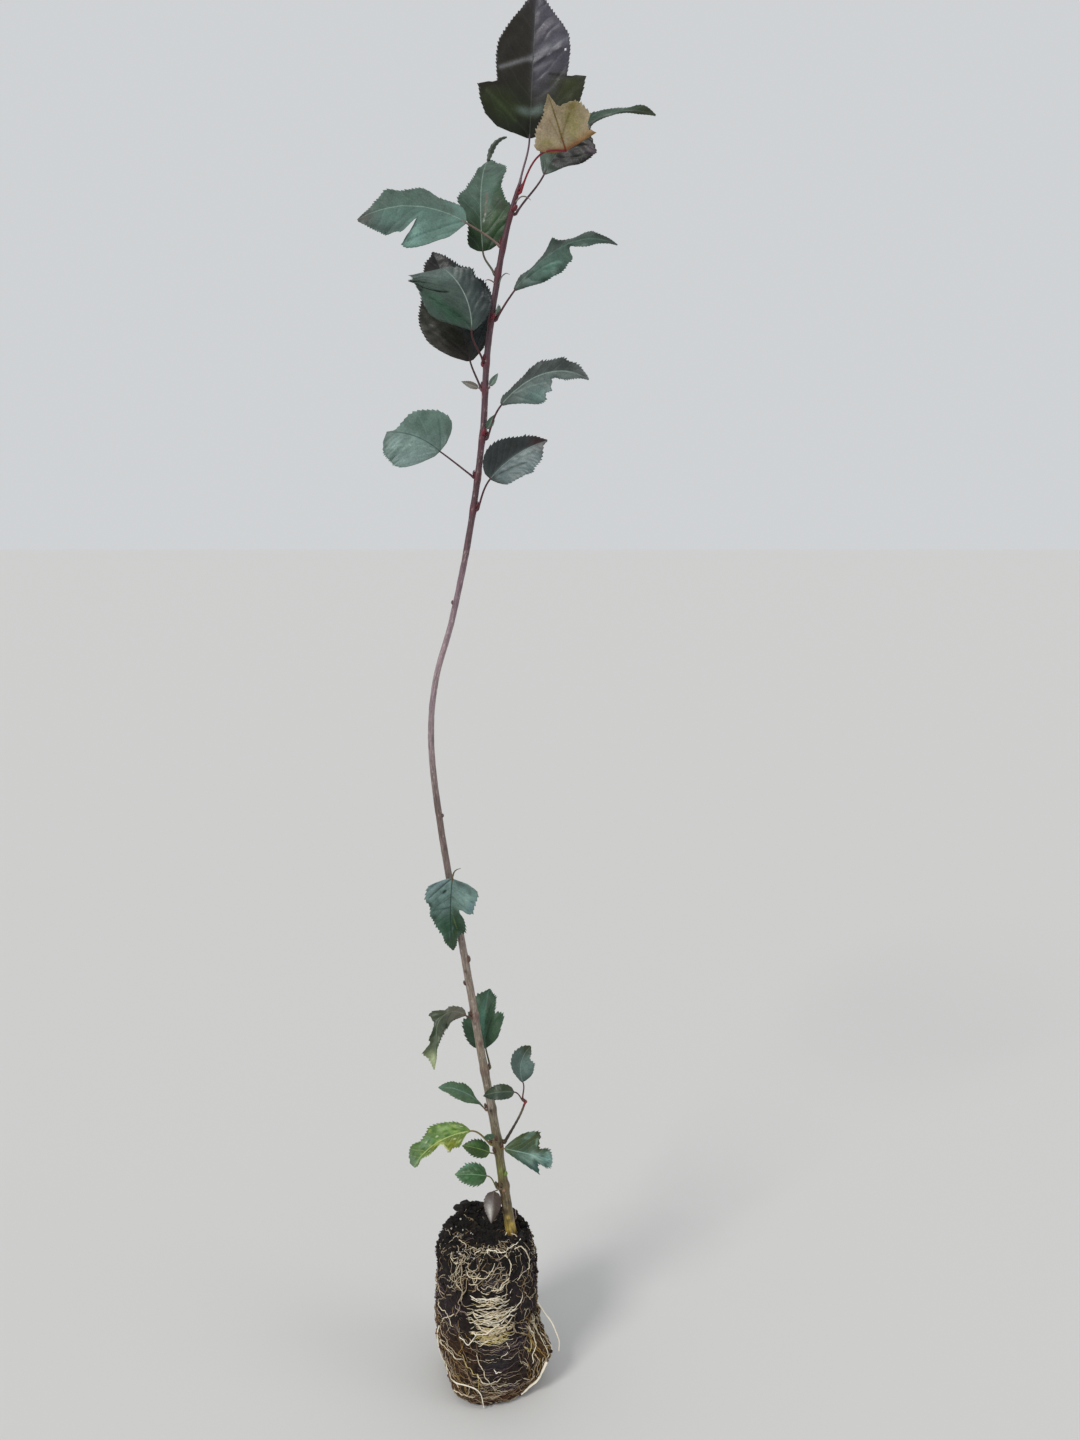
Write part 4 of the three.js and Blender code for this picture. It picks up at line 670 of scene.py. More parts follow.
        width=25, droop=48, fold=5, sweep=0.8, skew=0.3,
        outline=[
            (0, 0.1, 0.1), (0.09, 0.5, 0.24), (0.19, 0.88, 0.4), (0.3, 1.04, 0.62), (0.4, 1.04, 0.74),
            (0.46, 0.78, 0.52), (0.53, 0.45, 0.32), (0.61, 0.34, 0.3), (0.7, 0.42, 0.36),
            (0.8, 0.4, 0.32), (0.9, 0.24, 0.2), (1, 0.05, 0.05),
        ],
        left="#3f4c34", right="#56695f", base_colour="#45543a", base_reach=0.3, tip="#7d958e",
        vein="#8fb0a2", stalk="#6a5a3c", under="#7a8a70", wave=0.9, veins=0.25, teeth=1.6,
        speckles=[(10, 0.05, "#8fae9f", 0.35), (18, 0.05, "#3f5a4e", 0.45)],
        patches=[
            # The two pale teal patches on this line are painted highlights
            (0.6, 0.1, 0.12, 0.5, "#a3c2b6", 0.9), (0.35, 0.5, 0.08, 0.25, "#86a294", 0.7),
            (0.42, 0.9, 0.25, 0.3, "#2f4c47", 0.9), (0.3, -0.75, 0.25, 0.4, "#4b5238", 0.85),
            (0.85, 0, 0.15, 0.6, "#79a39c", 0.6), (0.7, 0.75, 0.1, 0.2, "#3f5f58", 0.7),
        ]),
    "leaf_foot_left": dict(
        LEAF, node=128, base=(1, -3, 137), heading=165, toward=10, roll=50, length=20, width=13,
        lobes=(0.1, 0.1), droop=35, fold=8,
        left="#4d674a", right="#3a5537", base_colour="#40583a", tip="#587a58", vein="#7da27c",
        stalk="#6a6a3c", under="#708562", wave=0.4, veins=0.5, teeth=2,
        speckles=[(12, 0.07, "#33532f", 0.5), (10, 0.06, "#7b9b78", 0.4)],
        patches=[(0.6, 0.9, 0.4, 0.2, "#5f8a70", 0.7), (0.5, -0.5, 0.2, 0.3, "#2f5a34", 0.6)]),
    "leaf_withered": dict(
        LEAF, node=129, side=250, base=(5, -5, 128), heading=266, toward=5, length=21, width=11,
        lobes=(0, 0), droop=5, fold=-20, arrive=180,
        left="#554b46", right="#716a67", base_colour="#574d46", tip="#544a46", vein="#938a86",
        stalk="#6b5a48", under="#7a6e68", wave=0.6, midrib=0.3,
        patches=[(0.65, 0.35, 0.3, 0.4, "#c4c0bb", 1), (0.2, 0, 0.15, 0.8, "#5a4f49", 0.5)]),
}
NODES = [leaf["node"] for leaf in LEAVES.values() if "node" in leaf]
LEAF_SEED = 100
STIPULE_SEED = 400
SEED_STEP = 10
# Stipules at the upper nodes
STIPULE = dict(
    LEAF, lobes=(0, 0), droop=20, fold=12, tip="#5c655c", vein="#8b968c", stalk="#6a4a4c", under="#7b847a",
    wave=0.3, veins=0.1, midrib=0.5, toward=8, roll=10)
STIPULES = [
    dict(STIPULE, node=601, side=215, base=(0.2, -1.4, 602.6), heading=158, length=10, width=3.6,
         left="#7b756e", right="#6b665f", base_colour="#6b5a55"),
    dict(STIPULE, node=602.5, side=330, base=(6.2, -1.4, 603.6), heading=54, length=8.2, width=3.2,
         left="#5f6f66", right="#6c7d74", base_colour="#5f5f58"),
    dict(STIPULE, node=579.5, side=320, base=(4.6, -1.6, 581), heading=60, length=8.8, width=3.8,
         left="#4f6456", right="#5c7264", base_colour="#4a5a4c"),
    dict(STIPULE, node=639, side=20, base=(10.6, 0.6, 640.4), heading=75, length=5.5, width=2.6,
         left="#5d6c62", right="#66766b", base_colour="#5a5a52"),
]
# Roughness of the leaves by slot
LEAF_FINISH = {
    "dark_leaf": 0.4, "green_leaf": 0.44, "grey_green_leaf": 0.47, "bronze_leaf": 0.52,
    "variegated_leaf": 0.48, "withered_leaf": 0.78,
}

# Root ball: the part's surface, then soil, grooves and patches by azimuth in degrees and height
BALL_HEIGHT = 97
BALL_PROFILE = [
    (0, 28), (3, 30.4), (9, 31.8), (24, 32.3), (45, 31.8), (66, 30.8), (85, 30.3), (93, 28.8), (97, 25.5),
]
BALL_MEAN_RADIUS = 31
BALL_LUMP = 0.9
# Low lumps of the side: times round it, slope by height and shift
BALL_WAVES = [(3, 0.11, 0), (5, -0.17, 1.3), (8, 0.29, 2.1)]
BALL_TOP_LUMP = 2.2
# Waves of the top: turns, shift, and slope on the way out to the rim
BALL_TOP_WAVES = [(2, 0.6, 3), (5, 0, 4)]
BALL_CROWN = {"azimuth": 115, "rise": 2.8}
# azimuth, height, reach, spread and rise: matted roots low on the right, and a narrower foot on the left
BULGES = [(-16, 19, 8.5, 26, 14), (192, 0, -7, 36, 26)]
BALL_COLUMNS = 260
BALL_ROWS = 130
TOP_RINGS = 26
FOOT_RINGS = 4
# The side ends at the shoulder, and the top runs in from the rim, over its reach, to the middle
SHOULDER = 95.5
RIM_HEIGHT = 96.5
TOP_REACH = 30
RIM_SHARE = 0.99
MIDDLE_SHARE = 0.03
CROWN_SHARE = 0.02
# Crumbly relief and mottling: seed, strength and size of their ripples
SIDE_RIPPLES = [(31, 0.75, 9.0), (32, 0.5, 4.0), (33, 0.3, 1.9)]
TOP_RIPPLES = [(35, 1.1, 7.0), (36, 0.6, 3.0)]
SOIL_MOTTLING = [(34, 0.35, 3.0)]
TOP_SUNK = 0.5
TOP_LEAN = 0.01
# Grooves: azimuth, lowest and highest point, depth and width
GROOVES = [
    (-102, 42, 75, 1.5, 1.1), (-50, 18, 60, 1.6, 1.2), (-113, 70, 95, 1.6, 1.1), (-96, 8, 44, 1.4, 1.0),
    (-165, 30, 92, 1.2, 1.3), (20, 15, 90, 1.4, 1.2), (65, 10, 60, 1.3, 1.2), (75, 62, 93, 1.3, 1.1),
    (118, 20, 88, 1.4, 1.2), (160, 8, 56, 1.3, 1.2),
]
GROOVE_SHOWN = 0.8
# Painted shade: how much darker the soil is painted in its grooves
GROOVE_PAINTED_SHADE = 0.25
GROOVE_WANDER = 1.2
GROOVE_WAVE = 7.0
GROOVE_END = 4
SOIL_TONES = (0.2, 2)
# Soil colours by height, kept darker than the compost itself as painted shade between the roots that lie
# over it
SOIL_COLOURS = [
    (0, "#28190f"), (12, "#251910"), (45, "#1d1511"), (75, "#1a1312"), (90, "#120f0d"), (100, "#100e0c"),
]
# Soil patches: azimuth, height, reach in degrees, reach in mm, colour, strength
SOIL_PATCHES = [
    (-80, 84, 12, 6, "#39343a", 0.9), (-45, 72, 14, 12, "#2c2227", 0.7), (-140, 62, 16, 10, "#2b2126", 0.7),
    (-44, 40, 10, 14, "#2a2430", 0.8), (-75, 32, 18, 12, "#2a272b", 0.8), (-70, 5, 26, 7, "#43281a", 0.8),
    (-120, 30, 20, 14, "#4a3219", 0.6), (-25, 30, 14, 18, "#4f3a1c", 0.6), (-112, 6, 14, 6, "#33391f", 0.5),
    (40, 40, 30, 25, "#3b2b1a", 0.5), (120, 70, 25, 16, "#2b2226", 0.6), (90, 20, 30, 14, "#4a3219", 0.5),
    (170, 40, 22, 18, "#3f2c19", 0.5),
]
ROOT_COLOURS = {
    "ivory": "#efe6d2", "cream": "#ddd0b4", "straw": "#c0ae70", "pale": "#b3a186", "tan": "#8a7150",
    "golden": "#9c7a3c", "brown": "#4f3a29", "rust": "#613d28", "mauve": "#655460",
}
TOP_CRUMBS = {
    "count": 1500, "sizes": (0.45, 1.35), "crowding": 3, "colours": ["#0f0d0c", "#171310", "#1f1813"],
}
SIDE_CRUMBS = {
    "count": 1700, "sizes": (0.35, 1.15), "crowding": 3, "colours": ["#120f0d", "#1b1512", "#291e16"],
    "highest": 96, "span": 94, "gathering": 2.2, "stand_off": (-0.2, 0.7),
}
# Crumbs and lumps: how far they reach and are stretched, and how uneven the lumps are
CRUMB_REACH = (0.6, 1.25)
CRUMB_STRETCH = (0.6, 1.3)
LUMP_CROWDING = 2
LUMP_WAVE = 1.9
LUMP_UNEVENNESS = 0.3
LUMP_JITTER = (-0.09, 0.09)
# Crumbs on the top: how far out they lie, how deep they are sunk, and how they drop over the rim
CRUMB_OUTMOST = 1.02
CRUMB_SUNK = 0.1
CRUMB_DROP = 2.2
CRUMB_DROP_FROM = 0.93
CRUMB_DROP_SPAN = 0.09
# Lumps on the top: count, inmost share of the way out, azimuths, sizes, flatness, rise and colours
LUMPS = [
    (130, 0.8, (-30, 210), 1.1, 2.6, 0.9, 0.6, ["#100e0d", "#15120f", "#1c1713"]),
    (80, 0.2, (-180, 180), 0.9, 2.0, 0.7, 0, ["#100e0d", "#15120f", "#26201b"]),
    (60, 0.85, (-170, -20), 0.8, 1.6, 0.7, 0, ["#16110f", "#211a15"]),
    (6, 0.99, (124, 136), 2.6, 3.9, 0.6, 3.2, ["#1d1a18"]),
    (16, 0.72, (20, 62), 0.9, 1.9, 1.3, 1, ["#2c1619", "#241416"]),
    (22, 0.3, (150, 260), 0.45, 0.75, 1.0, 1.2, ["#c2bdb2", "#938d80"]),
]
LUMP_SEED = 50
LUMP_FORMS = 8
LONGEST_BALL_EDGE = 1.2
LOWEST_CRUMB = 0.15
STEM_FOOT_CLEARANCE = 4.4
BALL_SEED = 41
# Finer roots by zone: azimuths, heights, count, heading and its spread (0 level, 90 upright), how much
# they wander, lengths, radii and the share of each colour. Past the shoulder, heights run in over the top.
ROOT_ZONES = [
    dict(azimuths=(-180, 180), heights=(80, 97), count=70, heading=0, spread=90, curl=0.96,
         lengths=(6, 16), radii=(0.1, 0.2), colours={"pale": 4, "tan": 3, "mauve": 2, "cream": 2}),
    dict(azimuths=(-172, -30), heights=(95, 112), count=120, heading=10, spread=75, curl=1.1,
         lengths=(4, 13), radii=(0.11, 0.21), colours={"pale": 4, "tan": 3, "cream": 3, "mauve": 1},
         above=0.7),
    dict(azimuths=(-30, 190), heights=(96, 116), count=34, heading=60, spread=70, curl=0.96,
         lengths=(4, 10), radii=(0.1, 0.17), colours={"pale": 2, "tan": 3, "mauve": 1}, above=0.6),
    dict(azimuths=(-93, -68), heights=(50, 75), count=70, heading=0, spread=11, curl=0.44,
         lengths=(8, 24), radii=(0.17, 0.3), colours={"ivory": 2, "cream": 6, "pale": 2, "straw": 1}),
    dict(azimuths=(-92, -66), heights=(46, 57), count=46, heading=4, spread=20, curl=0.56,
         lengths=(8, 22), radii=(0.15, 0.27), colours={"straw": 5, "cream": 4, "pale": 1}),
    dict(azimuths=(-128, -62), heights=(78, 95), count=50, heading=25, spread=60, curl=0.96,
         lengths=(7, 22), radii=(0.14, 0.27), colours={"pale": 4, "tan": 3, "cream": 4}),
    dict(azimuths=(-172, -108), heights=(44, 80), count=44, heading=-15, spread=60, curl=0.8,
         lengths=(7, 22), radii=(0.12, 0.22), colours={"pale": 3, "tan": 2, "brown": 3, "mauve": 3}),
    dict(azimuths=(-96, -50), heights=(8, 44), count=80, heading=0, spread=15, curl=0.44, lengths=(8, 26),
         radii=(0.1, 0.18), colours={"pale": 3, "brown": 3, "mauve": 4, "cream": 1}),
    dict(azimuths=(-165, -98), heights=(6, 44), count=104, heading=-48, spread=40, curl=0.64,
         lengths=(8, 28), radii=(0.11, 0.23),
         colours={"tan": 4, "brown": 3, "golden": 3, "pale": 2, "rust": 3}),
    dict(azimuths=(-48, 18), heights=(3, 48), count=190, heading=-85, spread=30, curl=0.72,
         lengths=(6, 22), radii=(0.12, 0.25),
         colours={"golden": 4, "tan": 3, "pale": 3, "cream": 5, "brown": 3}),
    dict(azimuths=(-50, 20), heights=(46, 95), count=80, heading=-70, spread=55, curl=0.88,
         lengths=(6, 20), radii=(0.11, 0.23), colours={"pale": 3, "mauve": 3, "tan": 2, "cream": 2}),
    dict(azimuths=(-180, 180), heights=(1.5, 11), count=170, heading=0, spread=16, curl=0.56,
         lengths=(8, 34), radii=(0.11, 0.24), colours={"rust": 5, "brown": 3, "tan": 4, "pale": 1}),
    dict(azimuths=(18, 190), heights=(52, 82), count=140, heading=0, spread=40, curl=0.64,
         lengths=(8, 28), radii=(0.13, 0.25), colours={"pale": 4, "cream": 3, "tan": 3, "brown": 1}),
    dict(azimuths=(18, 110), heights=(8, 56), count=140, heading=-80, spread=40, curl=0.64,
         lengths=(8, 28), radii=(0.11, 0.22), colours={"tan": 4, "brown": 4, "golden": 2, "pale": 3}),
    dict(azimuths=(110, 195), heights=(8, 56), count=130, heading=-10, spread=50, curl=0.64,
         lengths=(8, 28), radii=(0.11, 0.22), colours={"tan": 4, "brown": 3, "pale": 3, "cream": 1}),
    dict(azimuths=(18, 330), heights=(8, 88), count=34, heading=-30, spread=70, curl=0.48,
         lengths=(20, 50), radii=(0.22, 0.34), colours={"cream": 3, "pale": 4, "tan": 3}),
]
ROOT_STEP = 1.3
FEWEST_ROOT_STEPS = 5
ROOT_BUNDLES = 3
ROOT_WAVES = (9, 22)
ROOT_SWING = 0.6
SMALL_SWING = 0.7
SMALL_SWING_RATE = 2.1
# Fine roots: spread of a zone over the deviation from its heading, arch, and small rises and knots
SPREAD_PER_DEVIATION = 1.6
ROOT_ARCH = 0.5
ROOT_RISE = 0.12
ROOT_RISE_RATE = 3
ROOT_THINNING = 0.35
ROOT_KNOTS = 0.15
ROOT_KNOT_RATE = 5
ROOT_LAYERS = (-0.05, 0.75)
LOWEST_ROOT = 0.5
THICK_ROOT = 0.2
THICK_ROOT_SIDES = 4
THIN_ROOT_SIDES = 3
KEY_ROOT_STEPS = 12
KEY_ROOT_SIDES = 7
# Roots that stand out: wiggles as (size, rate), how they arch and stand off the ball, and thinning, knots
# and their rate
KEY_ROOT_WIGGLES = [(0.35, 9.0), (0.2, 23.0)]
KEY_ROOT_ARCH = 4
KEY_ROOT_RISE = 2
KEY_ROOT_SUNK = 0.8
KEY_ROOT_STAND = 0.35
KEY_ROOT_OVER_TOP = 0.9
KEY_ROOT_CLIMB = 0.6
KEY_ROOT_TAPER = (0.3, 0.12, 31)
STAND_OFF_STEPS = 14
STAND_OFF_SIDES = 10
STAND_OFF_GAP = 0.2
STAND_OFF_WIGGLE = 0.25
STAND_OFF_WIGGLE_RATE = 14
STAND_OFF_TAPER = (0.35, 0.08, 40)
FLOOR_GAP = 0.05
# Roots that stand out, as azimuth and height of each point, with a radius
KEY_ROOTS = [
    ("ivory", 0.4, [(-86, 105.5), (-78, 105), (-68, 102.5), (-60, 101), (-52, 99.5)]),
    ("ivory", 0.3, [(-86, 107), (-84, 104), (-85, 101)]),
    ("cream", 0.3, [(-66, 106), (-63, 103), (-60, 101)]),
    ("cream", 0.34, [(-60, 98), (-57, 94), (-58, 90), (-62, 86), (-68, 83), (-73, 79)]),
    ("ivory", 0.32, [(-47, 102.8), (-40, 101), (-30, 99.2), (-22, 98.5), (-13, 98)]),
    ("cream", 0.3, [(-12, 111), (-11, 107), (-14, 104), (-18, 101)]),
    ("cream", 0.26, [(-150, 103), (-138, 105), (-130, 104)]),
    ("cream", 0.24, [(-120, 106), (-112, 107), (-104, 109)]),
    ("ivory", 0.26, [(-108, 103), (-102, 104.5), (-98, 106.5)]),
    ("mauve", 0.4, [(38, 101, 0), (40, 100.5, 2.5), (42, 100, 5)]),
    ("mauve", 0.36, [(28, 103, 0), (27, 102, 3), (30, 101, 6)]),
    ("pale", 0.26, [(33, 101, 0), (31, 100.5, 3.5), (34, 100, 7)]),
    ("rust", 0.4, [(48, 103, 0), (50, 102, 2.5), (52, 101.5, 4.5)]),
    ("cream", 0.32, [(-42, 97), (-33, 96), (-29, 92), (-29, 88), (-34, 85), (-43, 84), (-50, 81)]),
    ("pale", 0.34, [(-132, 97), (-124, 98), (-118, 94), (-116, 89), (-116, 84), (-115, 77), (-116, 68)]),
    ("cream", 0.26, [(-140, 96), (-131, 92), (-124, 93), (-118, 95)]),
    ("cream", 0.3, [(-112, 90), (-104, 87), (-96, 88), (-88, 88), (-82, 91), (-76, 95)]),
    ("pale", 0.26, [(-110, 95), (-104, 92), (-98, 89), (-94, 87)]),
    ("cream", 0.26, [(-108, 82), (-100, 84), (-96, 80), (-90, 78), (-84, 78)]),
    ("cream", 0.28, [(-82, 80), (-74, 79.5), (-66, 82), (-60, 83)]),
    ("pale", 0.24, [(-93, 92), (-86, 91), (-78, 91.5), (-70, 92.5), (-64, 92)]),
    ("cream", 0.3, [(-160, 58), (-150, 55), (-142, 57), (-134, 54), (-128, 50)]),
    ("cream", 0.3, [(-126, 60), (-134, 56), (-143, 52), (-151, 46)]),
    ("ivory", 0.36, [(-119, 47), (-113, 45.5), (-107, 44), (-102, 48), (-97, 53)]),
    ("pale", 0.3, [(-152, 46), (-145, 41), (-134, 38), (-124, 36), (-115, 32)]),
    ("straw", 0.28, [(-119, 36), (-111, 31), (-103, 27), (-98, 24), (-97, 17), (-98, 10)]),
    ("ivory", 0.3, [(-104, 52), (-92, 51.5), (-80, 55.5), (-68, 59), (-56, 63), (-46, 66), (-38, 71)]),
    ("cream", 0.34, [(-98, 57), (-88, 54), (-78, 54), (-66, 56), (-56, 59)]),
    ("cream", 0.3, [(-98, 70), (-88, 71), (-76, 74), (-66, 71), (-58, 72)]),
    ("pale", 0.26, [(-38, 70), (-32, 64), (-24, 62), (-16, 66)]),
    ("ivory", 0.3, [(-80, 27), (-76, 25.5), (-71, 25)]),
    ("cream", 0.28, [(-98, 24), (-90, 20), (-80, 19), (-70, 20)]),
    ("pale", 0.26, [(-94, 8), (-84, 8.5), (-74, 9.5), (-66, 9)]),
    ("cream", 0.26, [(-66, 44), (-62, 40), (-68, 37), (-74, 35)]),
    ("cream", 0.34, [(-146, 24), (-136, 18), (-126, 14.5), (-118, 12.5)]),
    ("pale", 0.24, [(-140, 27), (-132, 22), (-124, 18)]),
    ("cream", 0.34, [(-130, 7), (-120, 8), (-110, 8.6), (-100, 8.4)]),
    ("pale", 0.26, [(-108, 16), (-107, 11), (-107, 7)]),
    ("ivory", 0.32, [(-33, 46), (-30, 40), (-29, 34), (-34, 29), (-38, 24)]),
    ("cream", 0.3, [(-24, 44), (-20, 38), (-19, 31), (-22, 24), (-22, 17)]),
    ("cream", 0.28, [(-14, 34), (-12, 28), (-14, 22), (-18, 17)]),
    ("golden", 0.32, [(-36, 42), (-32, 35), (-27, 28), (-25, 20), (-28, 12)]),
    ("straw", 0.3, [(-44, 36), (-38, 31), (-34, 36), (-30, 40)]),
    ("cream", 0.3, [(30, 84), (44, 76), (52, 66), (64, 60), (80, 58)]),
    ("cream", 0.34, [(96, 92), (104, 84), (108, 72), (120, 64), (134, 62), (148, 66)]),
    ("pale", 0.3, [(70, 48), (84, 42), (96, 34), (100, 22), (96, 12)]),
    ("cream", 0.28, [(150, 50), (160, 42), (172, 40), (184, 34), (190, 24)]),
]
# Roots that stand off the ball: radius, colour, and azimuth, height and stand-off of each point
STAND_OFF_ROOTS = {
    "loose_root_left": (0.48, "ivory", [
        (206, 43, 0), (203, 37, 0.4), (204, 27, 0.6), (207, 16, 0.5), (210, 9, 0)]),
    "loose_root_right": (0.55, "ivory", [
        (-4, 50, 0), (-7, 45, 3.5), (-8, 36, 8), (-8, 27, 6.5), (-8, 19, 5)]),
    "loose_root_thick": (0.85, "ivory", [(-24, 20, 0), (-31, 12, 0.6), (-39, 6, 1), (-48, 4, 0.4)]),
    "loose_root_front": (0.45, "ivory", [
        (226, 13, 0), (238, 15, 0.4), (250, 16, 0.6), (261, 15, 0.6), (266, 11, 0.6), (268, 5, 1),
        (269, 1.2, 1.6)]),
}

# Materials: depth of the fine relief in metres, gloss, and the colours of flecks and brown soil
SKIN_RELIEF = 0.0002
SOIL_RELIEF = 0.0009
SOFT_GLOSS = 0.3
BARK_DRAW = (1.0, 1.0, 0.09)
FLECK_COLOUR = (0.42, 0.37, 0.34, 1)
BROWN_SOIL_COLOUR = (0.05, 0.034, 0.022, 1)
# How much of a noise's spread is used
WIDE_SPAN = (0.2, 0.8)
FINE_SPAN = (0.25, 0.75)
MIDDLE_SPAN = (0.3, 0.7)
# Each skin: its noises, the tones and gloss that they give, and their share of the relief
LEAF_SKIN = {
    "fine": dict(scale=1300), "broad": dict(scale=150, detail=2), "net_scale": 800.0,
    "side_vein_edge": (0, 0.07), "midrib_edge": (0.1, 0.45), "net_edge": (0, 0.14), "net_shown": 0.16,
    "fine_tones": (0.8, 1.16), "broad_tones": (-0.1, 0.1), "gloss": (-0.08, 0.1),
    "fine_height": 0.35, "net_height": 0.3,
}
BARK_SKIN = {
    "streaks": dict(scale=1.7, detail=4, roughness=0.6), "pale": dict(scale=0.7, roughness=0.7),
    "fine": dict(scale=1500), "streak_tones": (0.56, 1.42), "fleck_span": (0.55, 0.72), "flecks": (0, 0.5),
    "fine_tones": (0.82, 1.15), "gloss": (0.42, 0.6), "streak_height": 0.8, "fine_height": 0.3,
}
SOIL_SKIN = {
    "fine": dict(scale=900, detail=4, roughness=0.7), "broad": dict(scale=220), "tones": (0.45, 1.7),
    "brown_span": (0.55, 0.75), "brown": (0, 0.5), "gloss": (0.8, 0.98), "broad_height": 1.2,
    "strength": 1.0,
}
ROOT_SKIN = {"fine": dict(scale=1600), "roughness": 0.7, "strength": 0.6}
FLOOR_ROUGHNESS = 0.9

# Camera as the photograph saw the plant, and the pale floor
CAMERA_PLACE = (0.0335, -0.609, 0.524)
CAMERA_PITCH = 9.7
CAMERA_LENS = 27.03
SENSOR = 36
NEAREST_SEEN = 0.01
FLOOR_REACH = 40
FLOOR_COLOUR = (0.60, 0.595, 0.58)
WORLD_COLOUR = (0.95, 0.975, 1.0)
WORLD_STRENGTH = 0.66
# name, direction it comes from, softness in degrees, power and colour
SUNS = [
    ("key", (-0.7, -0.8, 1.0), 16, 1.5, (1.0, 0.985, 0.96)),
    ("side", (1.0, -0.3, 0.7), 30, 0.35, (0.96, 0.98, 1.0)),
]


# Curves, directions and colours

def between(stations, at):
    """Value at each place along straight stretches between stations of (place, value)."""
    places, values = np.array(stations, float).T
    return np.interp(at, places, values)


def smooth_curve(places, values, at):
    """Values on the smooth curve through stations, for numbers or for vectors."""
    places = np.asarray(places, float)
    values = np.asarray(values, float)
    slopes = np.empty_like(values)
    gaps = np.diff(places)
    gaps = gaps.reshape((-1,) + (1,) * (values.ndim - 1))
    slopes[1:-1] = (values[2:] - values[:-2]) / (gaps[1:] + gaps[:-1])
    slopes[0] = (values[1] - values[0]) / gaps[0]
    slopes[-1] = (values[-1] - values[-2]) / gaps[-1]
    at = np.atleast_1d(np.asarray(at, float))
    index = np.clip(np.searchsorted(places, at, side="right") - 1, 0, len(places) - 2)
    span = places[index + 1] - places[index]
    share = (at - places[index]) / span
    if values.ndim > 1:
        span = span[:, None]
        share = share[:, None]
    square = share ** 2
    cube = share ** 3
    low = (2 * cube - 3 * square + 1) * values[index] + (cube - 2 * square + share) * slopes[index] * span
    high = (3 * square - 2 * cube) * values[index + 1] + (cube - square) * slopes[index + 1] * span
    return low + high


def smooth_between(stations, at):
    """Value at each place on the smooth curve through stations of (place, value)."""
    places, values = np.array(stations, float).T
    return smooth_curve(places, values, at)


def smooth_path(knots, count):
    """Points on a smooth curve through knots, spaced by the knots' own distances."""
    knots = np.array(knots, float)
    steps = np.sqrt(np.linalg.norm(np.diff(knots, axis=0), axis=1))
    places = np.concatenate([[0], np.cumsum(steps)])
    return smooth_curve(places, knots, np.linspace(0, places[-1], count))


def unit(vectors):
    return vectors / np.linalg.norm(vectors, axis=-1, keepdims=True)


def turned(vector, axis, angle):
    """The vector turned about a unit axis by an angle in radians."""
    swung = vector * math.cos(angle) + np.cross(axis, vector) * math.sin(angle)
    return swung + axis * (axis @ vector) * (1 - math.cos(angle))


def level_direction(azimuth):
    """Level direction of an azimuth in degrees."""
    turn = math.radians(azimuth)
    return np.array([math.cos(turn), math.sin(turn), 0])


def around(radius, azimuth, height):
    """Points at a radius, an azimuth in radians and a height about the upright axis."""
    parts = np.broadcast_arrays(radius * np.cos(azimuth), radius * np.sin(azimuth), height)
    return np.stack(parts, axis=-1)


def turn_from(middle, turns):
    """Turns counted from a middle one, the short way round, in radians."""
    return np.mod(turns - middle + math.pi, FULL_TURN) - math.pi


def colour(code):
    """Linear red, green and blue of a web colour."""
    parts = np.array([int(code[i:i + 2], 16) for i in (1, 3, 5)]) / 255
    return np.where(parts <= 0.04045, parts / 12.92, ((parts + 0.055) / 1.055) ** 2.4)


def colours_between(stations, at):
    """Colour at each place between stations of (place, web colour)."""
    places = [place for place, _ in stations]
    parts = np.array([colour(code) for _, code in stations])
    return np.stack([np.interp(at, places, parts[:, i]) for i in range(3)], axis=-1)


def mixed(first, second, share):
    share = np.clip(share, 0, 1)[..., None]
    return first * (1 - share) + second * share


def ripples(seed, places, size, count=9):
    """A smooth random field, about -1 to 1, over places, with waves of about one size."""
    random = np.random.default_rng(seed)
    waves = unit(random.normal(size=(count, places.shape[-1])))
    waves *= (random.uniform(*RIPPLE_SPREAD, count) * FULL_TURN / size)[:, None]
    turns = random.uniform(0, FULL_TURN, count)
    return np.sin(places @ waves.T + turns).sum(-1) * RIPPLE_HEIGHT / count ** 0.5


def rippled(table, places, seed=0):
    """Ripples over places, added up from a table of seed, strength and size."""
    return sum(strength * ripples(seed + own, places, size) for own, strength, size in table)


# Meshes

class Shape:
    """Points, faces and what each point or corner carries, in millimetres."""

    def __init__(self, points, faces, tint, rib=None, grain=None, corners=None, midrib=None):
        count = len(points)
        self.points = points
        self.faces = faces
        self.tint = tint
        self.rib = tint if rib is None else rib
        self.midrib = np.zeros((count, 1)) if midrib is None else midrib
        self.grain = np.zeros((count, 3)) if grain is None else grain
        self.corners = corners


def joined(shapes):
    """One shape of several."""
    faces = []
    corners = []
    first = 0
    for shape in shapes:
        faces += [block + first for block in shape.faces]
        first += len(shape.points)
        if shape.corners is not None:
            corners += shape.corners
    together = [np.concatenate([getattr(shape, part) for shape in shapes])
                for part in ("points", "tint", "rib", "grain", "midrib")]
    points, tint, rib, grain, midrib = together
    return Shape(points, faces, tint, rib, grain, corners if len(corners) == len(faces) else None, midrib)


def add_attribute(mesh, name, kind, key, values):
    attribute = mesh.attributes.new(name, kind, "POINT")
    attribute.data.foreach_set(key, np.ascontiguousarray(values, np.float32).ravel())


def add_object(name, data):
    """An object of the data, linked to the scene."""
    made = bpy.data.objects.new(name, data)
    bpy.context.scene.collection.objects.link(made)
    return made


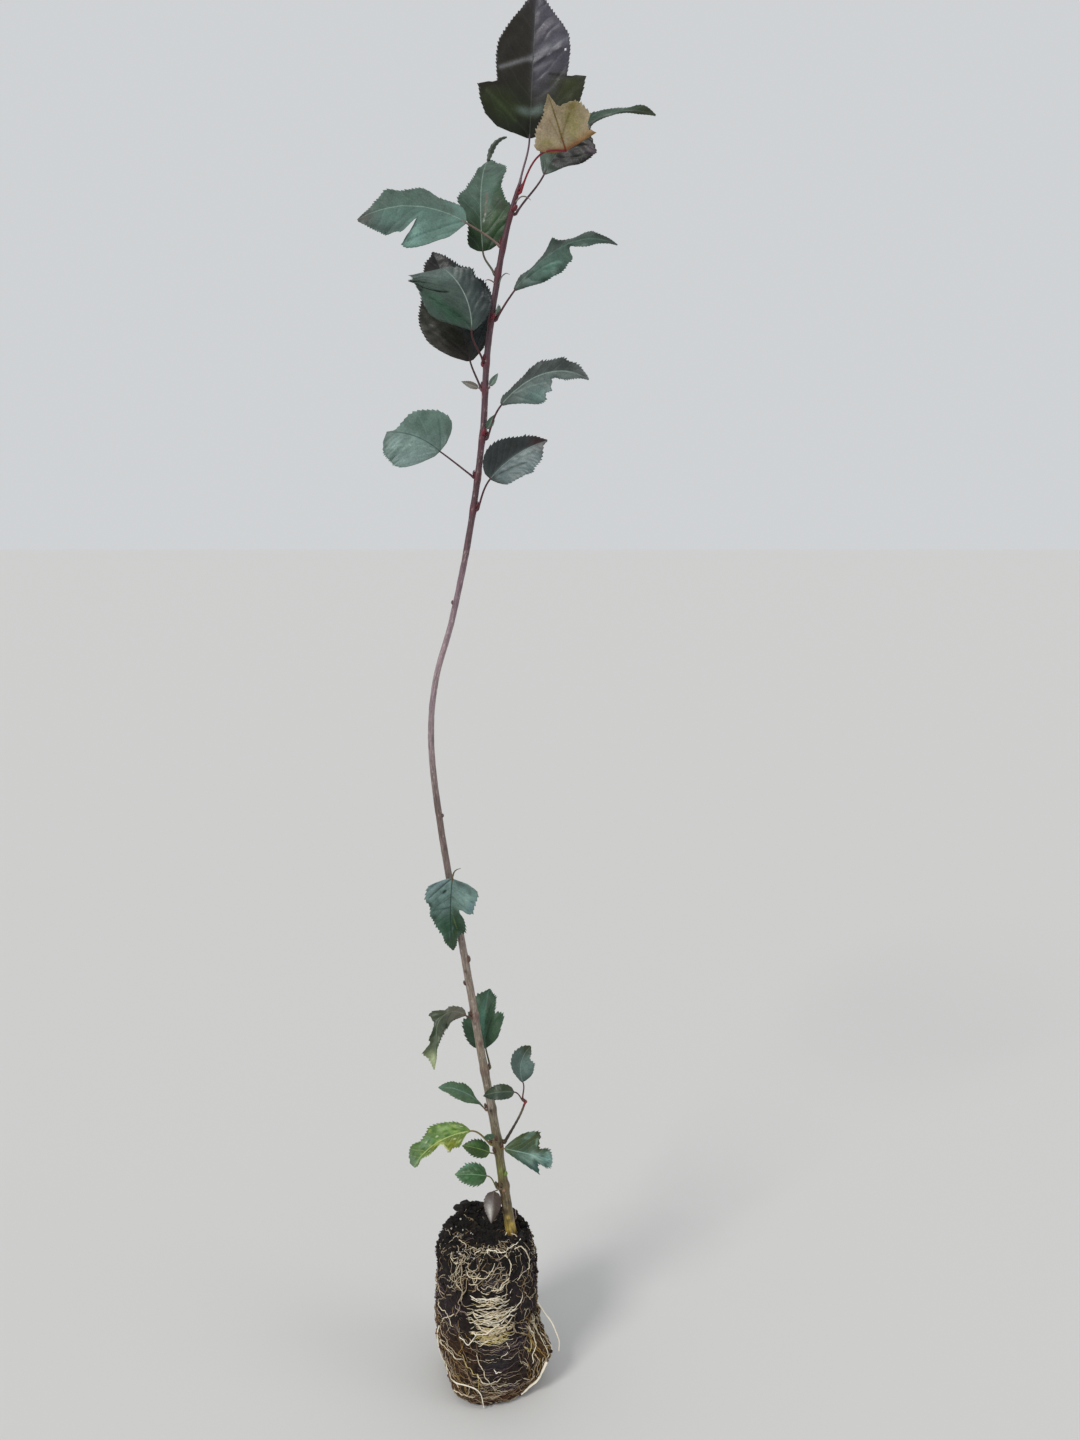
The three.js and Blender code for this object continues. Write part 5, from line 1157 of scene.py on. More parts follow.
def add_piece(name, shape, material, stands_for=()):
    """A mesh object of the shape that rides with the plant."""
    corners = np.concatenate([block.ravel() for block in shape.faces])
    sizes = np.concatenate([np.full(len(block), block.shape[1]) for block in shape.faces])
    starts = np.concatenate([[0], np.cumsum(sizes)[:-1]])
    mesh = bpy.data.meshes.new(name)
    mesh.vertices.add(len(shape.points))
    mesh.vertices.foreach_set("co", np.ascontiguousarray(shape.points * MM, np.float32).ravel())
    mesh.loops.add(len(corners))
    mesh.loops.foreach_set("vertex_index", corners.astype(np.int32))
    mesh.polygons.add(len(sizes))
    mesh.polygons.foreach_set("loop_start", starts.astype(np.int32))
    mesh.update(calc_edges=True)
    mesh.shade_smooth()
    add_attribute(mesh, "tint", "FLOAT_COLOR", "color", np.hstack([shape.tint, shape.midrib]))
    add_attribute(mesh, "rib", "FLOAT_COLOR", "color", np.hstack([shape.rib, shape.midrib]))
    add_attribute(mesh, "grain", "FLOAT_VECTOR", "vector", shape.grain)
    if shape.corners is not None:
        places = np.concatenate([block.reshape(-1, 2) for block in shape.corners])
        layer = mesh.uv_layers.new(name="OFBake")
        layer.data.foreach_set("uv", places.astype(np.float32).ravel())
    mesh.materials.append(material)
    piece = add_object(name, mesh)
    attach(piece, "root")
    if stands_for:
        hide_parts(*stands_for)


def ring_quads(rings, sides):
    """Quads between rings of points that follow each other."""
    ring, side = np.meshgrid(np.arange(rings - 1), np.arange(sides), indexing="ij")
    here = (ring * sides + side).ravel()
    beyond = (ring * sides + (side + 1) % sides).ravel()
    return np.stack([here, beyond, beyond + sides, here + sides], axis=1)


def tube_faces(count, rings, sides):
    """Quads and closing triangles of a number of tubes, each made of rings of points."""
    starts = (np.arange(count) * rings * sides)[:, None, None]
    fans = np.arange(1, sides - 1)
    foot = np.stack([0 * fans, fans + 1, fans], axis=1)
    end = np.stack([0 * fans, fans, fans + 1], axis=1) + (rings - 1) * sides
    quads = (ring_quads(rings, sides) + starts).reshape(-1, 4)
    return [quads, np.concatenate([(fan + starts).reshape(-1, 3) for fan in (foot, end)])]


def rim_directions(across, beside, sides):
    """Directions from each place of a course to the points of the ring round it."""
    turns = (np.arange(sides) * FULL_TURN / sides)[:, None]
    return across[..., None, :] * np.cos(turns) + beside[..., None, :] * np.sin(turns)


def tube_frames(course):
    """Directions across and beside a course of points, with no twist."""
    along = unit(np.gradient(course, axis=0))
    across = np.empty_like(course)
    side = -FRONT if abs(along[0, 1]) < 0.9 else SIDEWAYS
    for i, direction in enumerate(along):
        side = side - direction * (side @ direction)
        side = side / np.linalg.norm(side)
        across[i] = side
    return across, np.cross(along, across)


def tube_corners(rings, sides, box):
    """Places on the map of a tube's faces, in a box of left, low, right and high."""
    left, low, right, high = box
    ring, side = np.meshgrid(np.arange(rings - 1), np.arange(sides), indexing="ij")
    x = left + (right - left) * np.stack([ring, ring, ring + 1, ring + 1], axis=-1) / rings
    y = low + (high - low) * np.stack([side, side + 1, side + 1, side], axis=-1) / sides
    caps = np.full((2 * (sides - 2), 3, 2), (left, low))
    return [np.stack([x, y], axis=-1).reshape(-1, 4, 2), caps]


def tube(course, radii, sides, tint, box=None, relief=0.0):
    """A closed tube round a course, with a radius for each point and relief for each point and side."""
    count = len(course)
    across, beside = tube_frames(course)
    reach = np.broadcast_to(np.asarray(radii, float)[:, None], (count, sides)) + relief
    points = (course[:, None] + rim_directions(across, beside, sides) * reach[..., None]).reshape(-1, 3)
    tints = np.broadcast_to(np.asarray(tint, float), (count, 3)).repeat(sides, axis=0)
    corners = None if box is None else tube_corners(count, sides, box)
    return Shape(points, tube_faces(1, count, sides), tints, corners=corners)


def tapered(radius, taper, count):
    """Radii at even steps, from stations of (share of the way, share of the radius)."""
    return radius * between(taper, np.linspace(0, 1, count))


# Leaves

def midrib(leaf):
    """Places and directions of a leaf's midrib: along it, up from the upper face, and across."""
    heading, toward, roll = (math.radians(leaf[key]) for key in ("heading", "toward", "roll"))
    along = np.array([
        math.cos(heading) * math.cos(toward), -math.sin(toward), math.sin(heading) * math.cos(toward)])
    up = unit(FRONT - along * (FRONT @ along))
    up = turned(up, along, roll)
    across = np.cross(along, up)
    place = np.array(leaf["base"], float)
    rows = []
    for i in range(MIDRIB_STEPS + 1):
        bent = min(i / MIDRIB_STEPS / leaf["bend_end"], 1)
        droop = -math.radians(leaf["droop"]) * bent
        curve = math.radians(leaf["curve"]) * bent
        up_here = turned(up, across, droop)
        along_here = turned(turned(along, across, droop), up_here, curve)
        rows.append((place, along_here, up_here))
        place = place + along_here * leaf["length"] / MIDRIB_STEPS
    return np.array(rows).transpose(1, 0, 2)


def midrib_at(rib, shares):
    """Place, along, up and across at each share of the midrib."""
    stations = np.linspace(0, 1, MIDRIB_STEPS + 1)
    place, along, up = (smooth_curve(stations, part, shares) for part in rib)
    along = unit(along)
    up = unit(up - along * (up * along).sum(-1, keepdims=True))
    return place, along, up, np.cross(along, up)


def half_width(leaf, shares, side):
    """Half width as a share of half the full width, on one side of the midrib."""
    if "outline" in leaf:
        stations = [(at, right if side > 0 else left) for at, left, right in leaf["outline"]]
        half = smooth_between(stations, shares)
    else:
        lobe = leaf["lobes"][0 if side > 0 else 1]
        entire = np.maximum(smooth_between(ENTIRE_SIDE, shares), ENTIRE_SIDE[-1][1])
        half = (1 - lobe) * entire + lobe * between(LOBED_SIDE, shares)
    return np.maximum(half, LEAST_HALF_WIDTH)


def fading(place, end, rate, least=0):
    """1 well before an end, and less towards it."""
    return np.clip((end - place) * rate, least, 1)


def blade_side(leaf, random, shares, out, side, teeth):
    """Width, sweep ahead and phase of the veins at each row and place out, on one side of the midrib."""
    share = shares[:, None]
    sizes = np.repeat(random.uniform(*TOOTH_SIZES, teeth + 1), len(TOOTH_STEPS))[:len(shares)]
    saw = between(TOOTH_PROFILE, (shares * teeth) % 1)
    half = half_width(leaf, shares, side) * leaf["width"] / 2
    deep = TOOTH_DEPTH * leaf["teeth"]
    tooth = (saw * sizes * np.minimum(half / TOOTH_FULL_WIDTH, 1) * deep)[:, None] * out ** TOOTH_STEEPNESS
    width = half[:, None] * out + tooth
    sweep = (leaf["sweep"] + side * leaf["skew"]) * np.minimum(1, SWEEP_AT_BASE + SWEEP_RISE * share)
    ahead = sweep * width + TOOTH_LEAN * tooth
    stagger = VEIN_STAGGER * side * np.minimum(width / VEIN_STAGGER_WIDTH, 1)
    level = share * leaf["length"] + ahead - VEIN_SLANT * width - VEIN_BOW * width ** 2
    return width, ahead, level / (leaf["length"] / VEINS_PER_SIDE) + stagger


def blade_lift(leaf, seed, turns, shares, columns, widths, phase, flat):
    """How far each place stands off the plane of the midrib: fold, waves, veins and creases."""
    share = shares[:, None]
    out = np.abs(columns)
    length = leaf["length"]
    rounded = np.sqrt(widths ** 2 + FOLD_ROUNDING) - math.sqrt(FOLD_ROUNDING)
    lift = rounded * math.sin(math.radians(leaf["fold"])) - BLADE_CUPPING * widths ** 2
    crests = np.where(columns < 0, turns[0], turns[1]) + share * FULL_TURN * WAVES_PER_SIDE
    wave = np.sin(crests) + SMALL_WAVE * np.sin(SMALL_WAVE_RATE * crests + turns[2])
    wave = wave * leaf["wave"] * min(1, length / WAVE_FULL_LENGTH)
    swell = np.sin(math.pi * np.clip(share, *WAVE_SPAN)) ** WAVE_SWELL
    lift = lift + wave * out ** WAVE_STEEPNESS * swell
    distance = np.abs(phase - np.round(phase)) * (length / VEINS_PER_SIDE)
    furrow = VEIN_CREST - np.exp(-(distance / VEIN_REACH) ** 2)
    nearness = np.clip(widths / VEIN_LEAST_WIDTH, 0, 1) * fading(out, **FURROW_FADING)
    lift = lift + VEIN_RELIEF * min(1, length / VEIN_FULL_LENGTH) * furrow * nearness
    lift = lift + rippled(BLADE_RIPPLES, flat, seed)
    for *ends, reach, depth, _, _ in leaf["lines"]:
        away = line_distance(shares, columns, flat, ends)
        lift = lift - depth * np.exp(-(away / (CREASE_SPREAD * reach)) ** 2)
    return lift


def blade_grid(leaf, rib, seed):
    """Middle surface of a blade as a grid of points, with its up directions and its veins."""
    random = np.random.default_rng(seed)
    length = leaf["length"]
    teeth = max(FEWEST_TEETH, round(length * MARGIN_PER_LENGTH / TOOTH_SPACING))
    steps = (np.arange(teeth)[:, None] + np.array(TOOTH_STEPS)).ravel() / teeth
    shares = np.append(steps, 1.0)
    columns = np.linspace(-1, 1, LEAF_COLUMNS if length > LONG_LEAF else SHORT_LEAF_COLUMNS)
    place, along, up, across = (part[:, None] for part in midrib_at(rib, shares))
    share = shares[:, None]
    side = np.sign(columns)
    out = np.abs(columns)
    grid = np.empty((3, len(shares), len(columns)))
    for way in (-1, 1):
        chosen = columns * way >= 0
        grid[:, :, chosen] = blade_side(leaf, random, shares, out[chosen], way, teeth)
    widths, forward, phase = grid
    turns = random.uniform(0, FULL_TURN, 4)
    flat = np.stack([share * length + forward, side * widths], axis=-1)
    phase = phase + rippled(VEIN_RIPPLES, flat, seed)
    lift = blade_lift(leaf, seed, turns, shares, columns, widths, phase, flat)
    spread = math.cos(math.radians(leaf["fold"]))
    points = place + across * (side * widths * spread)[..., None] + up * lift[..., None]
    points = points + along * forward[..., None]
    ups = np.broadcast_to(up, points.shape)
    mixed_up = np.sin(np.round(phase) * VEIN_MIX + SIDE_MIX * side + seed)
    chance = VEIN_STRENGTH + VEIN_UNEVENNESS * mixed_up
    strength = chance * fading(out, **VEIN_OUT_FADING) * fading(share, **VEIN_TIP_FADING)
    veins = np.stack([phase, side * widths, leaf["veins"] * strength], axis=-1)
    middle = leaf["midrib"] * fading(share, **MIDRIB_FADING) + 0 * widths
    return shares, columns, points, ups, veins, flat, middle


def without_sheen(tints):
    """Skin colours less the sheen that the light adds to them."""
    return np.maximum(tints - LEAF_SHEEN, LEAST_TINT * tints)


def line_distance(shares, columns, flat, ends):
    """Distance in mm of each place of the flat blade from a straight line between two of them."""
    rows = [np.abs(shares - share).argmin() for share in ends[::2]]
    places = [np.abs(columns - column).argmin() for column in ends[1::2]]
    start, end = (flat[row, place] for row, place in zip(rows, places))
    along = end - start
    share = np.clip(((flat - start) @ along) / (along @ along), 0, 1)
    return np.linalg.norm(flat - start - share[..., None] * along, axis=-1)


def oval(share, column, at, across, length, width):
    """Squared distance from the middle of an oval on the blade: 1 on its rim."""
    return ((share - at) / length) ** 2 + ((column - across) / width) ** 2


def face_tints(leaf, share, column, upper):
    """Colour of the upper or the lower face, before its patches."""
    if upper:
        tints = mixed(colour(leaf["left"]), colour(leaf["right"]), 0.5 + column / MIDDLE_BLEND)
        tints = mixed(tints, colour(leaf["base_colour"]), BASE_BLEND * (1 - share / leaf["base_reach"]))
        return mixed(tints, colour(leaf["tip"]), TIP_BLEND * between(TIP_BY_SHARE, share))
    under = colour(leaf["under"])
    tip = colour(leaf.get("under_tip", leaf["under"]))
    base = colour(leaf.get("under_base", leaf["under"]))
    under = mixed(under, tip, (share - UNDER_TIP_FROM) / UNDER_TIP_SPAN)
    return mixed(under, base, 1 - share / UNDER_BASE_REACH)


def speckled(leaf, tints, share, column, seed):
    """The tints with small speckles strewn over them."""
    for number, (count, size, code, strength) in enumerate(leaf["speckles"]):
        random = np.random.default_rng(seed + SPECKLE_SEED + number)
        for at, across in random.uniform(*SPECKLE_SPAN, (count, 2)):
            away = oval(share, column, at, across, size, SPECKLE_WIDTH * size)
            tints = mixed(tints, colour(code), strength * np.exp(-away ** 2))
    return tints


def blade_tints(leaf, shares, columns, flat, seed, upper):
    """Colour of the blade at each row and column, on its upper or its lower face."""
    share, column = np.broadcast_arrays(shares[:, None], columns)
    tints = face_tints(leaf, share, column, upper)
    if upper == (leaf["roll"] != FACE_AWAY):
        for at, across, length, width, code, strength in leaf["patches"]:
            away = oval(share, column, at, across, length, width)
            tints = mixed(tints, colour(code), strength * np.exp(-away))
        tints = speckled(leaf, tints, share, column, seed)
        for *ends, reach, _, code, strength in leaf["lines"]:
            away = line_distance(shares, columns, flat, ends)
            tints = mixed(tints, colour(code), strength * np.exp(-(away / reach) ** 2))
    places = np.stack([share * leaf["length"], column * leaf["width"] / 2], axis=-1)
    return without_sheen(tints) * (1 + rippled(MOTTLING, places, seed))[..., None]


def kept_cells(leaf, shares, columns):
    """Which cells of the grid are leaf, and not a hole."""
    share = ((shares[:-1] + shares[1:]) / 2)[:, None]
    column = ((columns[:-1] + columns[1:]) / 2)[None, :]
    kept = np.ones((len(shares) - 1, len(columns) - 1), bool)
    for hole in leaf["holes"]:
        kept &= oval(share, column, *hole) > 1
    return kept


def wall_edges(kept):
    """Edges of the kept cells as pairs of grid points, with the leaf on their left."""
    rows, wide = kept.shape
    padded = np.pad(kept, 1)
    pairs = []
    for first, second, shift in ((padded[1:-1, :-1], padded[1:-1, 1:], (1, 0)),
                                 (padded[:-1, 1:-1], padded[1:, 1:-1], (0, 1))):
        for gained in (True, False):
            row, column = np.nonzero((second & ~first) if gained else (first & ~second))
            start = row * (wide + 1) + column
            end = (row + shift[0]) * (wide + 1) + column + shift[1]
            forward = gained != bool(shift[0])
            pairs.append(np.stack([start, end] if forward else [end, start], axis=1))
    return np.concatenate(pairs)


def blade_corners(shares, columns, upper, lower, walls):
    """Places on the map of the blade's upper and lower cells, and of its walls in a strip."""
    across, lengthwise = np.meshgrid((columns + 1) / 2, shares)
    flat = np.stack([across, lengthwise], axis=-1).reshape(-1, 2) * FACE_MAP_SIZE
    start = np.arange(walls) / walls
    x = WALL_MAP_LEFT + WALL_MAP_WIDTH * np.stack([start, start + 1 / walls], axis=1)
    y = np.broadcast_to(WALL_MAP_LEVELS, (walls, 4))
    return [(flat + UPPER_MAP_PLACE)[upper], (flat + LOWER_MAP_PLACE)[lower],
            np.stack([x[:, [0, 1, 1, 0]], y], axis=-1)]


def blade_shape(leaf, rib, seed):
    """A thin closed blade with toothed margin, veins in relief and any holes."""
    shares, columns, middle, ups, veins, flat, midrib_strength = blade_grid(leaf, rib, seed)
    rows, wide = len(shares), len(columns)
    normals = np.cross(np.gradient(middle, axis=0), np.gradient(middle, axis=1))
    normals = np.where((normals * ups).sum(-1, keepdims=True) < 0, -normals, normals)
    normals = unit(normals + NORMAL_LEAN * ups)
    thin = BLADE_THICKNESS / 2 * (1 - MARGIN_THINNING * np.abs(columns) ** MARGIN_STEEPNESS)[None, :, None]
    top = (middle + normals * thin).reshape(-1, 3)
    bottom = (middle - normals * thin).reshape(-1, 3)
    kept = kept_cells(leaf, shares, columns)
    row, column = np.nonzero(kept)
    first = row * wide + column
    second = first + 1
    layer = rows * wide
    upper = np.stack([first, second, second + wide, first + wide], axis=1)
    lower = upper[:, [0, 3, 2, 1]]
    edges = wall_edges(kept)
    walls = np.stack([edges[:, 1], edges[:, 0], edges[:, 0] + layer, edges[:, 1] + layer], axis=1)
    tints = [blade_tints(leaf, shares, columns, flat, seed, face).reshape(-1, 3) for face in (True, False)]
    if "under_vein" in leaf:
        under_vein = colour(leaf["under_vein"])
    else:
        under_vein = colour(leaf["under"]) * UNDER_VEIN_LIGHTNESS
    ribs = [np.broadcast_to(without_sheen(tint), top.shape) for tint in (colour(leaf["vein"]), under_vein)]
    grain = np.concatenate([veins.reshape(-1, 3)] * 2)
    corners = blade_corners(shares, columns, upper, lower, len(walls))
    return Shape(np.concatenate([top, bottom]), [upper, lower + layer, walls], np.concatenate(tints),
                 np.concatenate(ribs), grain, corners, np.concatenate([midrib_strength.reshape(-1, 1)] * 2))


def stem_point(height):
    height = np.atleast_1d(np.asarray(height, float))
    return np.stack([smooth_between(STEM_COURSE, height), np.zeros_like(height), height], axis=-1)


def near_nodes(height, reach):
    """Nearness of a height to the nodes of the stem, 1 at a node, added up over them."""
    return sum(np.exp(-((height - node) / reach) ** 2) for node in NODES)


def stem_radius(height):
    """Radius of the stem, swollen at its nodes."""
    return between(STEM_WIDTH, height) / 2 * (1 + NODE_SWELLING * near_nodes(height, NODE_SPREAD))


def stem_direction(height):
    return unit(stem_point(height + 1) - stem_point(height - 1))[0]


def stalk_start(leaf):
    """Where a stalk leaves the stem or the side shoot, in which direction, and how deep it is sunk."""
    if leaf.get("at_tip"):
        axis = stem_direction(STEM_TIP)
        return stem_point(STEM_TIP)[0] + axis * CAD_CLEARANCE, axis, TIP_STALK_SUNK
    if leaf.get("on_shoot"):
        carrier, radius, axis = np.array(SHOOT["tip"], float), SHOOT["bud_radius"], UPWARD
    else:
        height = leaf["node"]
        carrier, radius, axis = stem_point(height)[0], stem_radius(height), stem_direction(height)
    out = (np.array(leaf["base"], float) - carrier) * (1, 1, 0)
    if "side" in leaf:
        out = level_direction(leaf["side"])
    out = unit(out - axis * (out @ axis))
    return carrier + out * (radius + CAD_CLEARANCE), out, CAD_CLEARANCE + STALK_SUNK


def stalk_axis(leaf):
    """Direction of what carries a leaf."""
    return UPWARD if leaf.get("on_shoot") else stem_direction(min(leaf["node"], STEM_TIP))


def stalk_course(leaf, rib):
    """Points of a stalk, from inside the stem to the foot of the blade."""
    start, out, sunk = stalk_start(leaf)
    base = np.array(leaf["base"], float)
    shoulder = start + (SHOULDER_OUT * out + SHOULDER_UP * stalk_axis(leaf)) * STALK_SHOULDER
    reach = np.linalg.norm(shoulder - base)
    arrive = rib[1, 0]
    if "arrive" in leaf:
        angle = math.radians(leaf["arrive"])
        arrive = np.array([math.cos(angle), 0, math.sin(angle)])
    leaving = shoulder + (base - shoulder) * STALK_LEAVING + UPWARD * leaf["rise"] * reach
    arriving = base - arrive * STALK_ARRIVING * reach + FRONT * leaf["bow"]
    share = np.linspace(0, 1, STALK_STEPS)[:, None]
    weights = [(1 - share) ** 3, 3 * share * (1 - share) ** 2, 3 * share ** 2 * (1 - share), share ** 3]
    curve = sum(weight * knot for weight, knot in zip(weights, (shoulder, leaving, arriving, base)))
    return np.concatenate([[start - out * sunk, start], curve])


def stalk_shape(leaf, rib):
    """The stalk, which runs on under the blade as its midrib."""
    stalk = stalk_course(leaf, rib)
    small = min(1, SMALL_STALK + leaf["length"] / STALK_FULL_LENGTH)
    shares = np.linspace(0, RIB_END, RIB_STEPS)[1:]
    place, _, up, _ = midrib_at(rib, shares)
    radii = np.linspace(STALK_RADIUS, STALK_END_RADIUS, len(stalk)) * small
    radii[:STALK_ROOT_RINGS] *= 1 + STALK_ROOT_SWELLING * np.linspace(1, 0, STALK_ROOT_RINGS)
    rib_radii = between(RIB_RADII, shares) * small
    sunk = (RIB_SUNK + RIB_SUNK_PER_RADIUS * rib_radii) * np.clip(shares / RIB_SUNK_FROM, 0, 1)
    skin = colour(leaf["stalk"])
    stalk_tints = mixed(skin * STALK_TONES[0], skin * STALK_TONES[1], np.linspace(0, 1, len(stalk)))
    rib_tints = mixed(skin, without_sheen(colour(leaf["vein"])), shares * RIB_TINT_RATE)
    return tube(np.concatenate([stalk, place - up * sunk[:, None]]), np.concatenate([radii, rib_radii]),
                STALK_SIDES, np.concatenate([stalk_tints, rib_tints]), STALK_MAP)


def spur_shape(spur, rib):
    """A thin tail that leaves the midrib."""
    place, along, _, _ = (part[0] for part in midrib_at(rib, [spur["share"]]))
    root = place + along * (-SPUR_ROOT if spur["share"] > 0.5 else SPUR_ROOT)
    course = smooth_path([root, *(place + np.array(offset) for offset in spur["course"])], SPUR_STEPS)
    radii = tapered(spur["radius"], SPUR_TAPER, SPUR_STEPS)
    radii = radii * (1 + SPUR_KNOTS * np.sin(np.arange(SPUR_STEPS) * SPUR_KNOT_RATE))
    return tube(course, radii, SPUR_SIDES, colour(spur["colour"]), SPUR_MAP)


def leaf_shape(leaf, seed):
    """A leaf's blade and its stalk, and a spur where it has one."""
    rib = midrib(leaf)
    shapes = [blade_shape(leaf, rib, seed), stalk_shape(leaf, rib)]
    if "spur" in leaf:
        shapes.append(spur_shape(leaf["spur"], rib))
    return joined(shapes)


# Stem

def stem_relief(turns, heights, radii):
    """Bark relief in millimetres: ridges, knobs and lenticels, and the lenticels alone from 0 to 1."""
    places = around(radii[:, None], turns, heights[:, None] * RIDGE_DRAW)
    relief = rippled(STEM_RIDGES, places)
    places[..., 2] *= KNOB_DRAW
    relief = relief + rippled(STEM_KNOBS, places)
    random = np.random.default_rng(LENTICELS["seed"])
    dots = np.zeros_like(relief)
    for _ in range(LENTICELS["count"]):
        height = random.uniform(*LENTICELS["heights"])
        turn = random.uniform(0, FULL_TURN)
        rows = np.abs(heights - height) < LENTICELS["window"]
        away = turn_from(turn, turns) * radii[rows, None]
        level = (heights[rows, None] - height) / LENTICELS["height"]
        dot = np.exp(-level ** 2 - (away / LENTICELS["width"]) ** 2)
        dots[rows] += random.uniform(*LENTICELS["strengths"]) * dot
    return relief + LENTICELS["rise"] * dots, dots


def stem_tints(heights, turns, radii, dots):
    """Bark colours: by height, darker and redder at the nodes, with pale dots and spots."""
    level = heights[:, None] + 0 * turns
    tints = colours_between(STEM_COLOURS, level)
    nearness = np.clip(near_nodes(level, NODE_TINGE_REACH), 0, 1)
    tints = mixed(tints, colours_between(STEM_NODE_COLOURS, level), STEM_NODE_TINGE * nearness)
    tints = mixed(tints, colour(PALE_DOT), LENTICELS["paleness"] * dots)
    for height, azimuth, size, code, strength in STEM_SPOTS:
        away = turn_from(math.radians(azimuth - RING_START), turns) * radii[:, None]
        spot = np.exp(-(((level - height) / size) ** 2 + (away / size) ** 2) ** 2)
        tints = mixed(tints, colour(code), strength * spot)
    return tints


def stem_shape():
    """The whip with its bark."""
    heights = np.arange(STEM_FOOT, STEM_TIP + PAST_TIP, STEM_RING_STEP)
    turns = np.arange(STEM_SIDES) * FULL_TURN / STEM_SIDES
    radii = stem_radius(heights) * between(STEM_TIP_TAPER, heights)
    relief, dots = stem_relief(turns, heights, radii)
    shape = tube(stem_point(heights), radii, STEM_SIDES, colour(PALE_DOT), relief=relief)
    shape.grain = around(STEM_GRAIN_RADIUS, turns, heights[:, None]).reshape(-1, 3)
    # Painted shade in the bark's hollows and painted light on its ridges
    tone = 1 + STEM_RELIEF_SHADE * relief[..., None]
    shape.tint = np.clip(stem_tints(heights, turns, radii, dots) * tone, 0, 1).reshape(-1, 3)
    shape.midrib = between(STEM_FLECKS, heights).repeat(STEM_SIDES)[:, None]
    shape.corners = stem_corners(len(heights))
    return shape


def stem_corners(count):
    """The stem's length folded into columns of the map."""
    ring, side = np.meshgrid(np.arange(count - 1), np.arange(STEM_SIDES), indexing="ij")
    tall = math.ceil((count - 1) / STEM_UV_COLUMNS)
    column = ring // tall
    up = (ring % tall)[..., None] + np.array([0, 0, 1, 1])
    beside = side[..., None] + np.array([0, 1, 1, 0])
    x = (column[..., None] + STEM_MAP_LEFT + STEM_MAP_WIDTH * beside / STEM_SIDES) / STEM_UV_COLUMNS
    y = STEM_MAP_LOW + STEM_MAP_HEIGHT * up / tall
    caps = np.full((2 * (STEM_SIDES - 2), 3, 2), STEM_CAP_PLACE)
    return [np.stack([x, y], axis=-1).reshape(-1, 4, 2), caps]


def shoot_shape():
    """The side shoot, from inside the stem to its bud."""
    node = stem_point(SHOOT["node"])[0]
    start = node + SIDEWAYS * (stem_radius(SHOOT["node"]) - BARK_SUNK)
    shoulder = start + SIDEWAYS * (STALK_SHOULDER + CAD_CLEARANCE + BARK_SUNK)
    course = np.concatenate([[start], smooth_path([shoulder, SHOOT["knee"], SHOOT["tip"]], SHOOT["steps"])])
    share = np.linspace(0, 1, len(course))
    knots = SHOOT["knots"] * np.sin(share * SHOOT["knot_rate"])
    radii = tapered(SHOOT["radius"], SHOOT_TAPER, len(course)) * (1 + knots)
    return tube(course, radii, SHOOT["sides"], colours_between(SHOOT_COLOURS, share))


def bud_shape(height, azimuth, length, radius, code, box):
    """A pointed bud that lies along the stem, its foot sunk in the bark."""
    out = level_direction(azimuth)
    foot = stem_point(height)[0] + out * (stem_radius(height) - BARK_SUNK)
    axis = stem_direction(height)
    knots = [foot + out * away * radius + axis * share * length for away, share in BUD_COURSE]
    radii = tapered(radius, BUD_TAPER, BUD_STEPS)
    return tube(smooth_path(knots, BUD_STEPS), radii, BUD_SIDES, colour(code), box)


def bract_shape(course, radius, code, box):
    """A dried stalk or bract, thin at its tip."""
    radii = tapered(radius, BRACT_TAPER, BRACT_STEPS)
    return tube(smooth_path(course, BRACT_STEPS), radii, BRACT_SIDES, colour(code), box)


def node_buds():
    """The bud above each stalk, as in the table of buds."""
    rows = []
    for leaf in LEAVES.values():
        if "node" in leaf and not leaf.get("at_tip"):
            _, out, _ = stalk_start(leaf)
            height = leaf["node"] + NODE_BUD["above"]
            azimuth = math.degrees(math.atan2(out[1], out[0]))
            radius = NODE_BUD["radius"] + NODE_BUD["swelling"] * stem_radius(height)
            _, code = min(BUD_COLOURS, key=lambda row: abs(row[0] - height))
            rows.append((height, azimuth, NODE_BUD["length"], radius, code))
    return rows


def buds_shape():
    """All the buds and bracts on the stem, each in its own strip of the map."""
    buds = BUDS + node_buds()
    count = len(buds) + len(BRACTS)
    left, low, right, high = BUD_STRIP
    strips = [(left, (number + low) / count, right, (number + high) / count) for number in range(count)]
    shapes = [bud_shape(*bud, strip) for bud, strip in zip(buds, strips)]
    shapes += [bract_shape(*bract, strip) for bract, strip in zip(BRACTS, strips[len(buds):])]
    return joined(shapes)


# Root ball

def ball_radius(azimuth, height):
    """Radius of the ball's side, with low lumps and its bulges."""
    lumps = sum(np.sin(turns * azimuth + slope * height + shift) for turns, slope, shift in BALL_WAVES)
    radius = between(BALL_PROFILE, height) + BALL_LUMP * lumps / len(BALL_WAVES)
    for middle, level, reach, spread, rise in BULGES:
        away = turn_from(math.radians(middle), azimuth) / math.radians(spread)
        radius = radius + reach * np.exp(-away ** 2 - ((height - level) / rise) ** 2)
    return radius


def ball_top(azimuth, share):
    """Height of the ball's top, at a share of the way out to its rim."""
    lumps = sum(np.sin(turns * azimuth + shift + slope * share) for turns, shift, slope in BALL_TOP_WAVES)
    crown = BALL_CROWN["rise"] * share * np.cos(azimuth - math.radians(BALL_CROWN["azimuth"]))
    return BALL_HEIGHT + BALL_TOP_LUMP * share * lumps / len(BALL_TOP_WAVES) + crown


